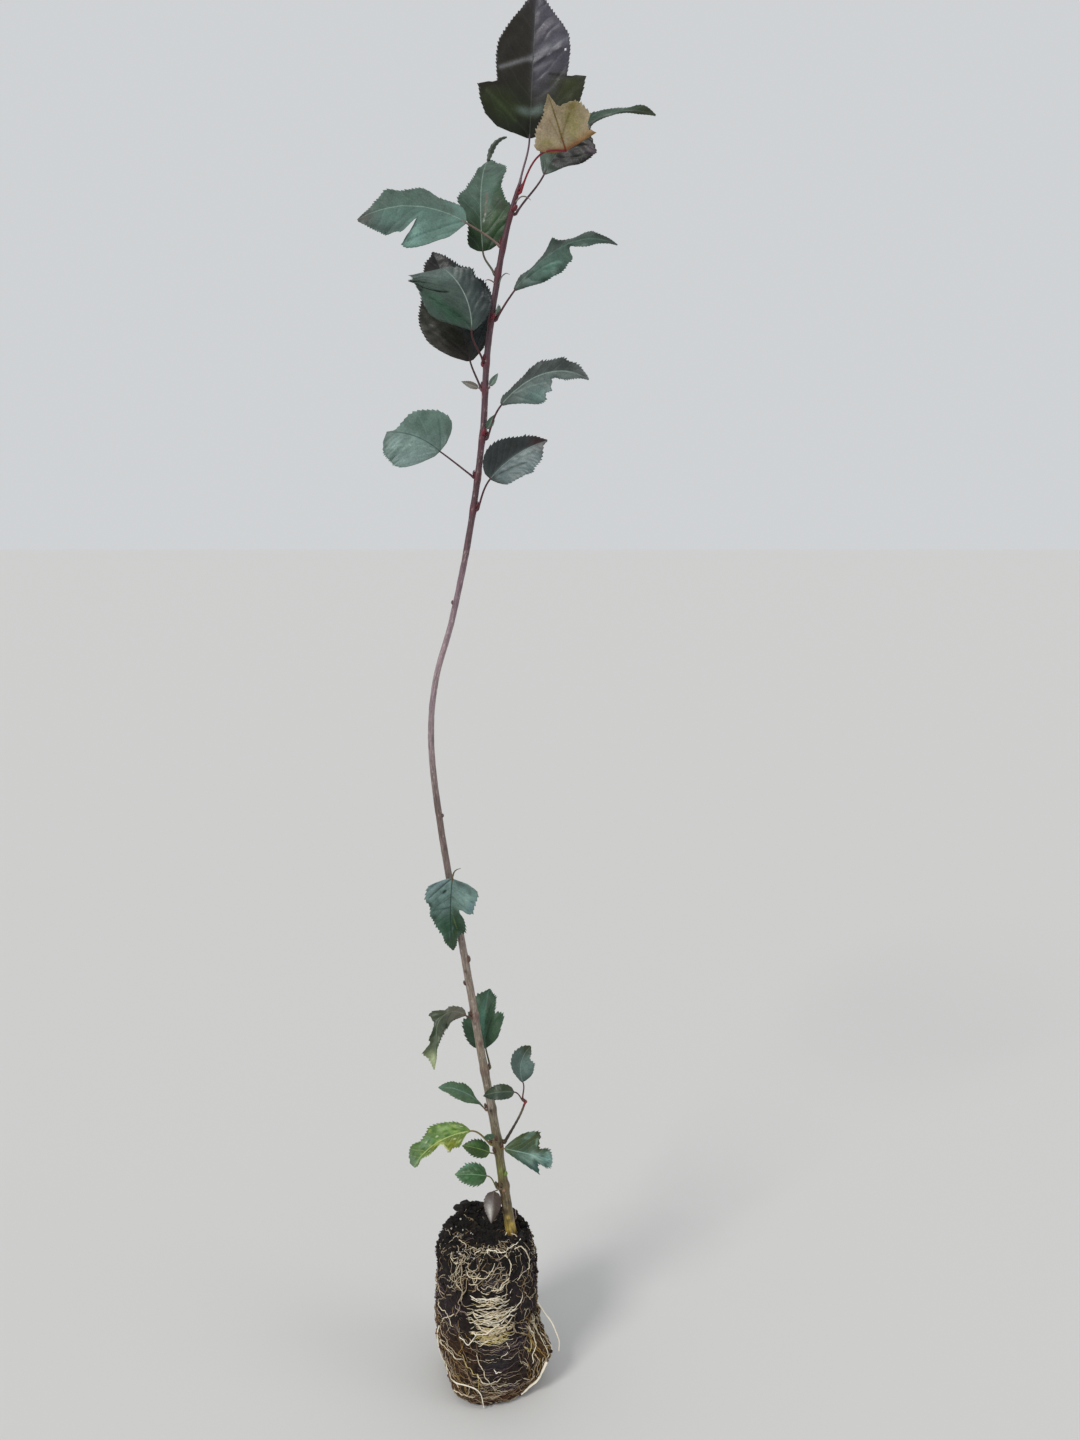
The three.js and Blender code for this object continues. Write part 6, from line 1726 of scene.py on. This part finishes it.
def groove_depth(azimuth, height):
    """Depth of the grooves that the tray's ribs and dead roots left in the side."""
    depth = np.zeros(np.broadcast_shapes(np.shape(azimuth), np.shape(height)))
    for turn, low, high, deep, width in GROOVES:
        away = turn_from(math.radians(turn), azimuth) * BALL_MEAN_RADIUS
        away = away + GROOVE_WANDER * np.sin(height / GROOVE_WAVE + turn)
        inside = np.clip((height - low) / GROOVE_END, 0, 1) * np.clip((high - height) / GROOVE_END, 0, 1)
        depth = depth + deep * inside * np.exp(-(away / width) ** 2)
    return depth


def ball_point(azimuth, height, stand_off=0.0):
    """Places on the ball's side, with its crumbly relief and grooves, standing off it."""
    smooth = ball_radius(azimuth, height)
    crumbs = rippled(SIDE_RIPPLES, around(smooth, azimuth, height))
    radius = smooth + crumbs - GROOVE_SHOWN * groove_depth(azimuth, height) + stand_off
    return around(radius, azimuth, height)


def top_point(azimuth, share, stand_off=0.0):
    """Places on the ball's crumbly top, at a share of the way out to its rim."""
    radius = share * ball_radius(azimuth, np.full_like(azimuth, RIM_HEIGHT))
    flat = around(radius, azimuth, 0.0)
    rise = ball_top(azimuth, share) + rippled(TOP_RIPPLES, flat) - TOP_SUNK
    return flat + UPWARD * (rise + stand_off)[..., None]


def skin_point(azimuth, level, stand_off):
    """Places and facing on the ball's skin: up its side by height, then in over its top."""
    side = ball_point(azimuth, np.minimum(level, SHOULDER), stand_off)
    share = np.clip(RIM_SHARE - (level - SHOULDER) / TOP_REACH, MIDDLE_SHARE, RIM_SHARE)
    past = (level > SHOULDER)[..., None]
    places = np.where(past, top_point(azimuth, share, stand_off), side)
    return places, np.where(past, UPWARD + TOP_LEAN * side * (1, 1, 0), side * (1, 1, 0))


def core_tints(azimuth, height, places):
    """Soil colours: by height, with patches, mottling and painted shade in the grooves."""
    tints = colours_between(SOIL_COLOURS, height)
    for turn, level, reach, rise, code, strength in SOIL_PATCHES:
        away = turn_from(math.radians(turn), azimuth) / math.radians(reach)
        nearness = np.exp(-away ** 2 - ((height - level) / rise) ** 2)
        tints = mixed(tints, colour(code), strength * nearness)
    # Painted shade in the grooves, on top of the mottling
    tone = 1 + rippled(SOIL_MOTTLING, places) - GROOVE_PAINTED_SHADE * groove_depth(azimuth, height)
    return tints * np.clip(tone, *SOIL_TONES)[..., None]


def core_shape():
    """The ball of soil: its foot, its side and its crumbly top."""
    turns = np.arange(BALL_COLUMNS) * FULL_TURN / BALL_COLUMNS
    foot_radius = ball_radius(turns, 0 * turns)
    rings = [around(share * foot_radius, turns, 0.0) for share in np.arange(1, FOOT_RINGS) / FOOT_RINGS]
    for height in np.linspace(0, SHOULDER, BALL_ROWS):
        rings.append(ball_point(turns, np.full_like(turns, height)))
    rings += [top_point(turns, share) for share in np.linspace(RIM_SHARE, CROWN_SHARE, TOP_RINGS)]
    grid = np.array(rings)
    points = np.concatenate([grid.reshape(-1, 3), [[0, 0, 0], grid[-1].mean(axis=0)]])
    first = np.arange(BALL_COLUMNS)
    after = (first + 1) % BALL_COLUMNS
    last = (len(rings) - 1) * BALL_COLUMNS
    foot = np.stack([np.full_like(first, len(points) - 2), after, first], axis=1)
    crown = np.stack([np.full_like(first, len(points) - 1), last + first, last + after], axis=1)
    tint = core_tints(np.arctan2(points[:, 1], points[:, 0]), points[:, 2], points)
    return Shape(points, [ring_quads(len(rings), BALL_COLUMNS), np.concatenate([foot, crown])], tint)


def strands(courses, facing, radii, sides, tint):
    """Closed tubes round many courses of points at once: facing is a direction beside each course."""
    count, steps, _ = courses.shape
    along = unit(np.gradient(courses, axis=1))
    across = unit(facing - along * (facing * along).sum(-1, keepdims=True))
    rims = rim_directions(across, np.cross(along, across), sides)
    points = (courses[:, :, None] + rims * radii[:, :, None, None]).reshape(-1, 3)
    return Shape(points, tube_faces(count, steps, sides), np.broadcast_to(tint, points.shape))


def wandering_roots(random, zone, count, tint):
    """Fine roots that wander over the ball's side in one zone."""
    length = random.uniform(*zone["lengths"])
    steps = max(FEWEST_ROOT_STEPS, round(length / ROOT_STEP))
    share = np.linspace(0, 1, steps)
    azimuth = np.radians(random.uniform(*zone["azimuths"], count))
    height = random.uniform(*zone["heights"], count)
    deviation = zone["spread"] / SPREAD_PER_DEVIATION
    heading = np.radians(zone["heading"] + random.normal(0, deviation, count))
    turns = random.uniform(0, FULL_TURN, (3, count, 1))
    waves = (length / random.uniform(*ROOT_WAVES, (count, 1))) * FULL_TURN * share
    swing = np.sin(waves + turns[0]) + SMALL_SWING * np.sin(SMALL_SWING_RATE * waves + turns[1])
    way = heading[:, None] + zone["curl"] * swing * ROOT_SWING
    step = length / steps
    azimuths = azimuth[:, None] + np.cumsum(np.cos(way), axis=1) * step / BALL_MEAN_RADIUS
    heights = height[:, None] + np.cumsum(np.sin(way), axis=1) * step
    azimuths = azimuths - np.cos(heading)[:, None] * length / 2 / BALL_MEAN_RADIUS
    heights = heights - np.sin(heading)[:, None] * length / 2
    heights = LOWEST_ROOT + np.abs(heights - LOWEST_ROOT)
    radius = random.uniform(*zone["radii"], (count, 1))
    layer = random.uniform(*ROOT_LAYERS, (count, 1)) + zone.get("above", 0)
    arch = np.sin(math.pi * share) ** ROOT_ARCH
    rise = ROOT_RISE * np.sin(ROOT_RISE_RATE * waves + turns[2])
    stand_off = (layer + radius) * arch - radius * (1 - arch) + rise
    courses, facing = skin_point(azimuths, heights, stand_off)
    knots = ROOT_KNOTS * np.sin(ROOT_KNOT_RATE * waves + turns[0])
    thinning = 1 - ROOT_THINNING * share + knots
    sides = THICK_ROOT_SIDES if zone["radii"][1] > THICK_ROOT else THIN_ROOT_SIDES
    return strands(courses, facing, radius * thinning, sides, tint)


def root_radii(radius, share, thinning, knots, rate):
    """Radii of a root that thins out, with slight knots."""
    return radius * (1 - thinning * share + knots * np.sin(share * rate))


def key_root(radius, course, tint):
    """One root that stands out, given by azimuth, height and stand-off."""
    knots = smooth_path(course, KEY_ROOT_STEPS * len(course))
    share = np.linspace(0, 1, len(knots))
    wiggles = zip(KEY_ROOT_WIGGLES, course[0])
    wiggle = sum(size * np.sin(share * rate + start) for (size, rate), start in wiggles)
    arch = np.clip(np.sin(math.pi * share) * KEY_ROOT_ARCH, 0, 1)
    over_top = np.clip(knots[:, 1] - SHOULDER, 0, 1)
    stand_off = knots[:, 2] + radius * (KEY_ROOT_RISE * arch - KEY_ROOT_SUNK) + KEY_ROOT_STAND * arch
    stand_off = stand_off + KEY_ROOT_OVER_TOP * over_top * arch
    azimuths = np.radians(knots[:, 0]) + wiggle * arch / BALL_MEAN_RADIUS
    places, facing = skin_point(azimuths, knots[:, 1] + wiggle * arch * KEY_ROOT_CLIMB, stand_off)
    radii = root_radii(radius, share, *KEY_ROOT_TAPER)
    return strands(places[None], facing[None], radii[None], KEY_ROOT_SIDES, tint)


def ball_of_triangles(rounds):
    """Corners and faces of a ball of twenty faces, each split in four for every round."""
    golden = (1 + 5 ** 0.5) / 2
    corners = [(s, t * golden, 0) for s in (-1, 1) for t in (-1, 1)]
    corners = corners + [(z, x, y) for x, y, z in corners] + [(y, z, x) for x, y, z in corners]
    corners = [tuple(corner) for corner in unit(np.array(corners, float))]
    faces = []
    for i, j, k in combinations(range(len(corners)), 3):
        first, second, third = (np.array(corners[at]) for at in (i, j, k))
        edges = (first - second, second - third, third - first)
        if max(np.linalg.norm(edge) for edge in edges) < LONGEST_BALL_EDGE:
            outward = np.cross(second - first, third - first) @ first > 0
            faces.append((i, j, k) if outward else (i, k, j))
    for _ in range(rounds):
        middles = {}
        split = []
        for face in faces:
            between_corners = []
            for a, b in zip(face, face[1:] + face[:1]):
                key = (min(a, b), max(a, b))
                if key not in middles:
                    middles[key] = len(corners)
                    corners.append(tuple(unit(np.array(corners[a]) + corners[b])))
                between_corners.append(middles[key])
            x, y, z = between_corners
            split += [(face[0], x, z), (face[1], y, x), (face[2], z, y), (x, y, z)]
        faces = split
    return np.array(corners), np.array(faces)


def crumb_shape(random, places, sizes, tint_codes, rounds=0, flat=1.0):
    """Soil crumbs: small uneven lumps, flatter for a smaller flat."""
    corners, faces = ball_of_triangles(rounds)
    count = len(places)
    reach = sizes[:, None] * random.uniform(*CRUMB_REACH, (count, len(corners)))
    if rounds:
        forms = np.stack([ripples(LUMP_SEED + number, corners, LUMP_WAVE) for number in range(LUMP_FORMS)])
        uneven = LUMP_UNEVENNESS * forms[random.integers(0, LUMP_FORMS, count)]
        reach = sizes[:, None] * (1 + uneven + random.uniform(*LUMP_JITTER, (count, len(corners))))
    stretch = random.uniform(*CRUMB_STRETCH, (count, 1, 3)) * (1, 1, flat)
    points = (corners[None] * reach[..., None] * stretch + places[:, None]).reshape(-1, 3)
    points[:, 2] = np.maximum(points[:, 2], LOWEST_CRUMB)
    triangles = (faces[None] + len(corners) * np.arange(count)[:, None, None]).reshape(-1, 3)
    picked = random.integers(0, len(tint_codes), count)
    tints = np.array([colour(code) for code in tint_codes])[picked].repeat(len(corners), axis=0)
    return Shape(points, [triangles], tints)


def crumb_sizes(random, count, smallest, largest, power):
    """Uneven sizes, with more small ones for a higher power."""
    return smallest + (largest - smallest) * random.uniform(0, 1, count) ** power


def crumb_places_top(random, count, inmost=0.0, azimuths=(0, 360)):
    """Places on the top, off the stem's foot, from an inmost share outwards."""
    share = np.sqrt(random.uniform(inmost ** 2, 1, count)) * CRUMB_OUTMOST
    turns = np.radians(random.uniform(*azimuths, count))
    drop = CRUMB_DROP * np.clip(share - CRUMB_DROP_FROM, 0, 1) / CRUMB_DROP_SPAN
    places = top_point(turns, np.minimum(share, 1), -CRUMB_SUNK - drop)
    clear = np.linalg.norm(places[:, :2] - stem_point(BALL_HEIGHT)[0, :2], axis=1) > STEM_FOOT_CLEARANCE
    return places[clear]


def crumb_places_side(random, count):
    """Places on the side, more of them near its top."""
    turns = random.uniform(0, FULL_TURN, count)
    down = random.uniform(0, 1, count) ** SIDE_CRUMBS["gathering"]
    heights = SIDE_CRUMBS["highest"] - SIDE_CRUMBS["span"] * down
    return ball_point(turns, heights, random.uniform(*SIDE_CRUMBS["stand_off"], count))


def stand_off_root(radius, course, tint):
    """A thick root that stands away from the ball, along the part's own course."""
    knots = np.array(course, float)
    azimuth = np.radians(knots[:, 0])
    reach = ball_radius(azimuth, knots[:, 1]) + radius + STAND_OFF_GAP + knots[:, 2]
    path = smooth_path(around(reach, azimuth, knots[:, 1]), STAND_OFF_STEPS * len(knots))
    share = np.linspace(0, 1, len(path))
    wiggle = STAND_OFF_WIGGLE * np.sin(share * STAND_OFF_WIGGLE_RATE + knots[0, 0])
    path = path + unit(path * (1, 1, 0)) * (wiggle * np.sin(math.pi * share))[:, None]
    path[:, 2] = np.maximum(path[:, 2], radius + FLOOR_GAP)
    radii = root_radii(radius, share, *STAND_OFF_TAPER)
    return tube(path, radii, STAND_OFF_SIDES, tint)


def build_soil(random):
    """The ball's core, with crumbs and lumps on it."""
    soil = soil_material()
    add_piece("root_ball_soil", core_shape(), soil, ["root_ball"])
    places = crumb_places_top(random, TOP_CRUMBS["count"])
    sizes = crumb_sizes(random, len(places), *TOP_CRUMBS["sizes"], TOP_CRUMBS["crowding"])
    crumbs = crumb_shape(random, places, sizes, TOP_CRUMBS["colours"])
    add_piece("soil_crumbs_top", crumbs, soil)
    lumps = []
    for count, inmost, azimuths, smallest, largest, flat, rise, codes in LUMPS:
        places = crumb_places_top(random, count, inmost, azimuths) + UPWARD * rise
        sizes = crumb_sizes(random, len(places), smallest, largest, LUMP_CROWDING)
        lumps.append(crumb_shape(random, places, sizes, codes, 1, flat))
    add_piece("soil_lumps_top", joined(lumps), soil)
    places = crumb_places_side(random, SIDE_CRUMBS["count"])
    sizes = crumb_sizes(random, len(places), *SIDE_CRUMBS["sizes"], SIDE_CRUMBS["crowding"])
    crumbs = crumb_shape(random, places, sizes, SIDE_CRUMBS["colours"])
    add_piece("soil_crumbs_side", crumbs, soil)


def build_roots(random):
    """Fine roots by zone, the roots that stand out and those that stand off, by colour."""
    tints = {name: colour(code) for name, code in ROOT_COLOURS.items()}
    groups = {name: [] for name in ROOT_COLOURS}
    for zone in ROOT_ZONES:
        parts = sum(zone["colours"].values())
        for name, part in zone["colours"].items():
            wanted = round(zone["count"] * part / parts)
            for _ in range(ROOT_BUNDLES):
                bundle = max(1, wanted // ROOT_BUNDLES)
                groups[name].append(wandering_roots(random, zone, bundle, tints[name]))
    for name, radius, course in KEY_ROOTS:
        groups[name].append(key_root(radius, [(*knot, 0)[:3] for knot in course], tints[name]))
    materials = {name: root_material(name, code) for name, code in ROOT_COLOURS.items()}
    for name, shapes in groups.items():
        add_piece("fine_roots_" + name, joined(shapes), materials[name])
    for name, (radius, tone, course) in STAND_OFF_ROOTS.items():
        shape = stand_off_root(radius, course, tints[tone])
        add_piece(name + "_fine", shape, materials[tone], [name])


def build_root_ball():
    random = np.random.default_rng(BALL_SEED)
    build_soil(random)
    build_roots(random)


# Materials

def node(tree, kind, inputs=None, **settings):
    """A shader node with its settings, and a value or a link for each input."""
    made = tree.nodes.new(kind)
    for name, value in settings.items():
        setattr(made, name, value)
    for key, value in (inputs or {}).items():
        if isinstance(value, bpy.types.NodeSocket):
            tree.links.new(value, made.inputs[key])
        else:
            made.inputs[key].default_value = value
    return made


def calculate(tree, operation, first, second=0.0):
    return node(tree, "ShaderNodeMath", {0: first, 1: second}, operation=operation).outputs[0]


def times(tree, first, second):
    return calculate(tree, "MULTIPLY", first, second)


def ranged(tree, value, span, result):
    """A value that runs from one end of the result to the other over its span."""
    inputs = dict(enumerate((value, *span, *result)))
    return node(tree, "ShaderNodeMapRange", inputs, interpolation_type="SMOOTHSTEP").outputs[0]


def mix_colours(tree, share, first, second, blend="MIX"):
    made = node(tree, "ShaderNodeMix", {0: share, 6: first, 7: second}, data_type="RGBA", blend_type=blend)
    return made.outputs[2]


def toned(tree, tint, tone):
    """A colour made darker or lighter by a tone."""
    return mix_colours(tree, 1.0, tint, tone, "MULTIPLY")


def attribute(tree, name, output="Color"):
    return node(tree, "ShaderNodeAttribute", attribute_name=name).outputs[output]


def own_place(tree):
    return node(tree, "ShaderNodeTexCoord").outputs["Object"]


def noise(tree, place, scale, detail=3.0, roughness=0.55):
    inputs = {"Vector": place, "Scale": scale, "Detail": detail, "Roughness": roughness}
    return node(tree, "ShaderNodeTexNoise", inputs).outputs[0]


def new_material(name):
    material = bpy.data.materials.new(name)
    material.use_nodes = True
    tree = material.node_tree
    return material, tree, tree.nodes["Principled BSDF"]


def set_relief(tree, shader, height, depth, strength=0.7):
    """Links fine relief to the shader."""
    bump = node(tree, "ShaderNodeBump", {"Height": height, "Distance": depth, "Strength": strength})
    tree.links.new(bump.outputs[0], shader.inputs["Normal"])


def set_surface(tree, shader, base, roughness):
    """Links the colour and the roughness to the shader."""
    tree.links.new(base, shader.inputs["Base Color"])
    tree.links.new(roughness, shader.inputs["Roughness"])


def leaf_material(name, roughness):
    """A leaf's skin: side veins and midrib, a net of fine veins, mottling and a soft gloss."""
    material, tree, shader = new_material(name)
    veins = node(tree, "ShaderNodeSeparateXYZ", {0: attribute(tree, "grain", "Vector")}).outputs
    away = calculate(tree, "PINGPONG", veins[0], 0.5)
    side_veins = times(tree, ranged(tree, away, LEAF_SKIN["side_vein_edge"], (1, 0)), veins[2])
    beside = calculate(tree, "ABSOLUTE", veins[1])
    middle = ranged(tree, beside, LEAF_SKIN["midrib_edge"], (1, 0))
    middle = times(tree, middle, attribute(tree, "tint", "Alpha"))
    vein = calculate(tree, "MAXIMUM", side_veins, middle)
    place = own_place(tree)
    fine = noise(tree, place, **LEAF_SKIN["fine"])
    broad = noise(tree, place, **LEAF_SKIN["broad"])
    inputs = {"Vector": place, "Scale": LEAF_SKIN["net_scale"]}
    net = node(tree, "ShaderNodeTexVoronoi", inputs, feature="DISTANCE_TO_EDGE").outputs[0]
    lines = times(tree, ranged(tree, net, LEAF_SKIN["net_edge"], (1, 0)), veins[2])
    tint = mix_colours(tree, vein, attribute(tree, "tint"), attribute(tree, "rib"))
    shown = times(tree, lines, LEAF_SKIN["net_shown"])
    tint = mix_colours(tree, shown, tint, attribute(tree, "rib"))
    fine_tone = ranged(tree, fine, FINE_SPAN, LEAF_SKIN["fine_tones"])
    broad_tone = ranged(tree, broad, MIDDLE_SPAN, LEAF_SKIN["broad_tones"])
    tint = toned(tree, tint, calculate(tree, "ADD", fine_tone, broad_tone))
    gloss = ranged(tree, fine, WIDE_SPAN, [roughness + more for more in LEAF_SKIN["gloss"]])
    height = calculate(tree, "SUBTRACT", times(tree, fine, LEAF_SKIN["fine_height"]), vein)
    height = calculate(tree, "SUBTRACT", height, times(tree, lines, LEAF_SKIN["net_height"]))
    set_surface(tree, shader, tint, gloss)
    set_relief(tree, shader, height, SKIN_RELIEF)
    shader.inputs["Specular IOR Level"].default_value = SOFT_GLOSS
    return material


def bark_material():
    """Young bark: lengthwise streaks, pale flecks and a thin waxy gloss."""
    material, tree, shader = new_material("bark")
    grain = attribute(tree, "grain", "Vector")
    drawn = node(tree, "ShaderNodeVectorMath", {0: grain, 1: BARK_DRAW}, operation="MULTIPLY").outputs[0]
    streaks = noise(tree, drawn, **BARK_SKIN["streaks"])
    pale = noise(tree, drawn, **BARK_SKIN["pale"])
    fine = noise(tree, own_place(tree), **BARK_SKIN["fine"])
    streak_tone = ranged(tree, streaks, MIDDLE_SPAN, BARK_SKIN["streak_tones"])
    tint = toned(tree, attribute(tree, "tint"), streak_tone)
    flecks = ranged(tree, pale, BARK_SKIN["fleck_span"], BARK_SKIN["flecks"])
    flecks = times(tree, flecks, attribute(tree, "tint", "Alpha"))
    tint = mix_colours(tree, flecks, tint, FLECK_COLOUR)
    tint = toned(tree, tint, ranged(tree, fine, FINE_SPAN, BARK_SKIN["fine_tones"]))
    gloss = ranged(tree, streaks, MIDDLE_SPAN, BARK_SKIN["gloss"])
    height = times(tree, streaks, BARK_SKIN["streak_height"])
    height = calculate(tree, "ADD", height, times(tree, fine, BARK_SKIN["fine_height"]))
    set_surface(tree, shader, tint, gloss)
    set_relief(tree, shader, height, SKIN_RELIEF)
    return material


def soil_material():
    """Damp compost: near black, speckled, rough."""
    material, tree, shader = new_material("soil")
    place = own_place(tree)
    fine = noise(tree, place, **SOIL_SKIN["fine"])
    broad = noise(tree, place, **SOIL_SKIN["broad"])
    tone = ranged(tree, fine, MIDDLE_SPAN, SOIL_SKIN["tones"])
    brown = ranged(tree, broad, SOIL_SKIN["brown_span"], SOIL_SKIN["brown"])
    tint = mix_colours(tree, brown, toned(tree, attribute(tree, "tint"), tone), BROWN_SOIL_COLOUR)
    gloss = ranged(tree, fine, MIDDLE_SPAN, SOIL_SKIN["gloss"])
    height = calculate(tree, "ADD", fine, times(tree, broad, SOIL_SKIN["broad_height"]))
    set_surface(tree, shader, tint, gloss)
    set_relief(tree, shader, height, SOIL_RELIEF, SOIL_SKIN["strength"])
    shader.inputs["Specular IOR Level"].default_value = SOFT_GLOSS
    return material


def root_material(name, code):
    """Roots of one plain colour with fine, uneven skin."""
    material, tree, shader = new_material("roots_" + name)
    shader.inputs["Base Color"].default_value = (*colour(code), 1)
    shader.inputs["Roughness"].default_value = ROOT_SKIN["roughness"]
    fine = noise(tree, own_place(tree), **ROOT_SKIN["fine"])
    set_relief(tree, shader, fine, SKIN_RELIEF, ROOT_SKIN["strength"])
    return material


def build_leaves():
    rows = frame["record"]["subparts"]
    slots = {row["node"]: row["material_slot"] for row in rows if "material_slot" in row}
    materials = {slot: leaf_material(slot, roughness) for slot, roughness in LEAF_FINISH.items()}
    for number, (name, leaf) in enumerate(LEAVES.items()):
        slot = slots[name]
        shape = leaf_shape(leaf, LEAF_SEED + SEED_STEP * number)
        add_piece(name + "_blade", shape, materials[slot], [name])


def build_stem():
    bark = bark_material()
    add_piece("stem_bark", stem_shape(), bark, ["stem"])
    add_piece("side_shoot_bark", shoot_shape(), bark, ["side_shoot"])
    add_piece("buds", buds_shape(), bark)
    skin = leaf_material("stipule", LEAF_FINISH["green_leaf"])
    for number, leaf in enumerate(STIPULES):
        shape = leaf_shape(leaf, STIPULE_SEED + SEED_STEP * number)
        add_piece("stipule_%d" % (number + 1), shape, skin)


# Floor, lights and camera

def build_stage():
    mesh = bpy.data.meshes.new("floor")
    reach = FLOOR_REACH
    corners = [(-reach, -reach, 0), (reach, -reach, 0), (reach, reach, 0), (-reach, reach, 0)]
    mesh.from_pydata(corners, [], [(0, 1, 2, 3)])
    material, _, shader = new_material("floor")
    shader.inputs["Base Color"].default_value = (*FLOOR_COLOUR, 1)
    shader.inputs["Roughness"].default_value = FLOOR_ROUGHNESS
    mesh.materials.append(material)
    floor = add_object("floor", mesh)


def add_sun(name, place, spread, power, tint):
    """Even light from the direction of a place, seen from the middle of the plant."""
    data = bpy.data.lights.new(name, "SUN")
    data.angle = math.radians(spread)
    data.energy = power
    data.color = tint
    add_object(name, data).rotation_euler = Vector(place).to_track_quat("Z", "Y").to_euler()


def build_light():
    scene = bpy.context.scene
    world = bpy.data.worlds.new("overcast")
    world.use_nodes = True
    backdrop = world.node_tree.nodes["Background"]
    backdrop.inputs["Color"].default_value = (*WORLD_COLOUR, 1)
    backdrop.inputs["Strength"].default_value = WORLD_STRENGTH
    scene.world = world
    for sun in SUNS:
        add_sun(*sun)


def build_camera():
    data = bpy.data.cameras.new("camera")
    data.lens = CAMERA_LENS
    data.sensor_width = SENSOR
    data.clip_start = NEAREST_SEEN
    camera = add_object("camera", data)
    camera.location = CAMERA_PLACE
    camera.rotation_euler = (math.radians(90 - CAMERA_PITCH), 0, 0)
    bpy.context.scene.camera = camera


build_leaves()
build_stem()
build_root_ball()
build_stage()
build_light()
build_camera()
bpy.context.scene.view_settings.view_transform = "Standard"
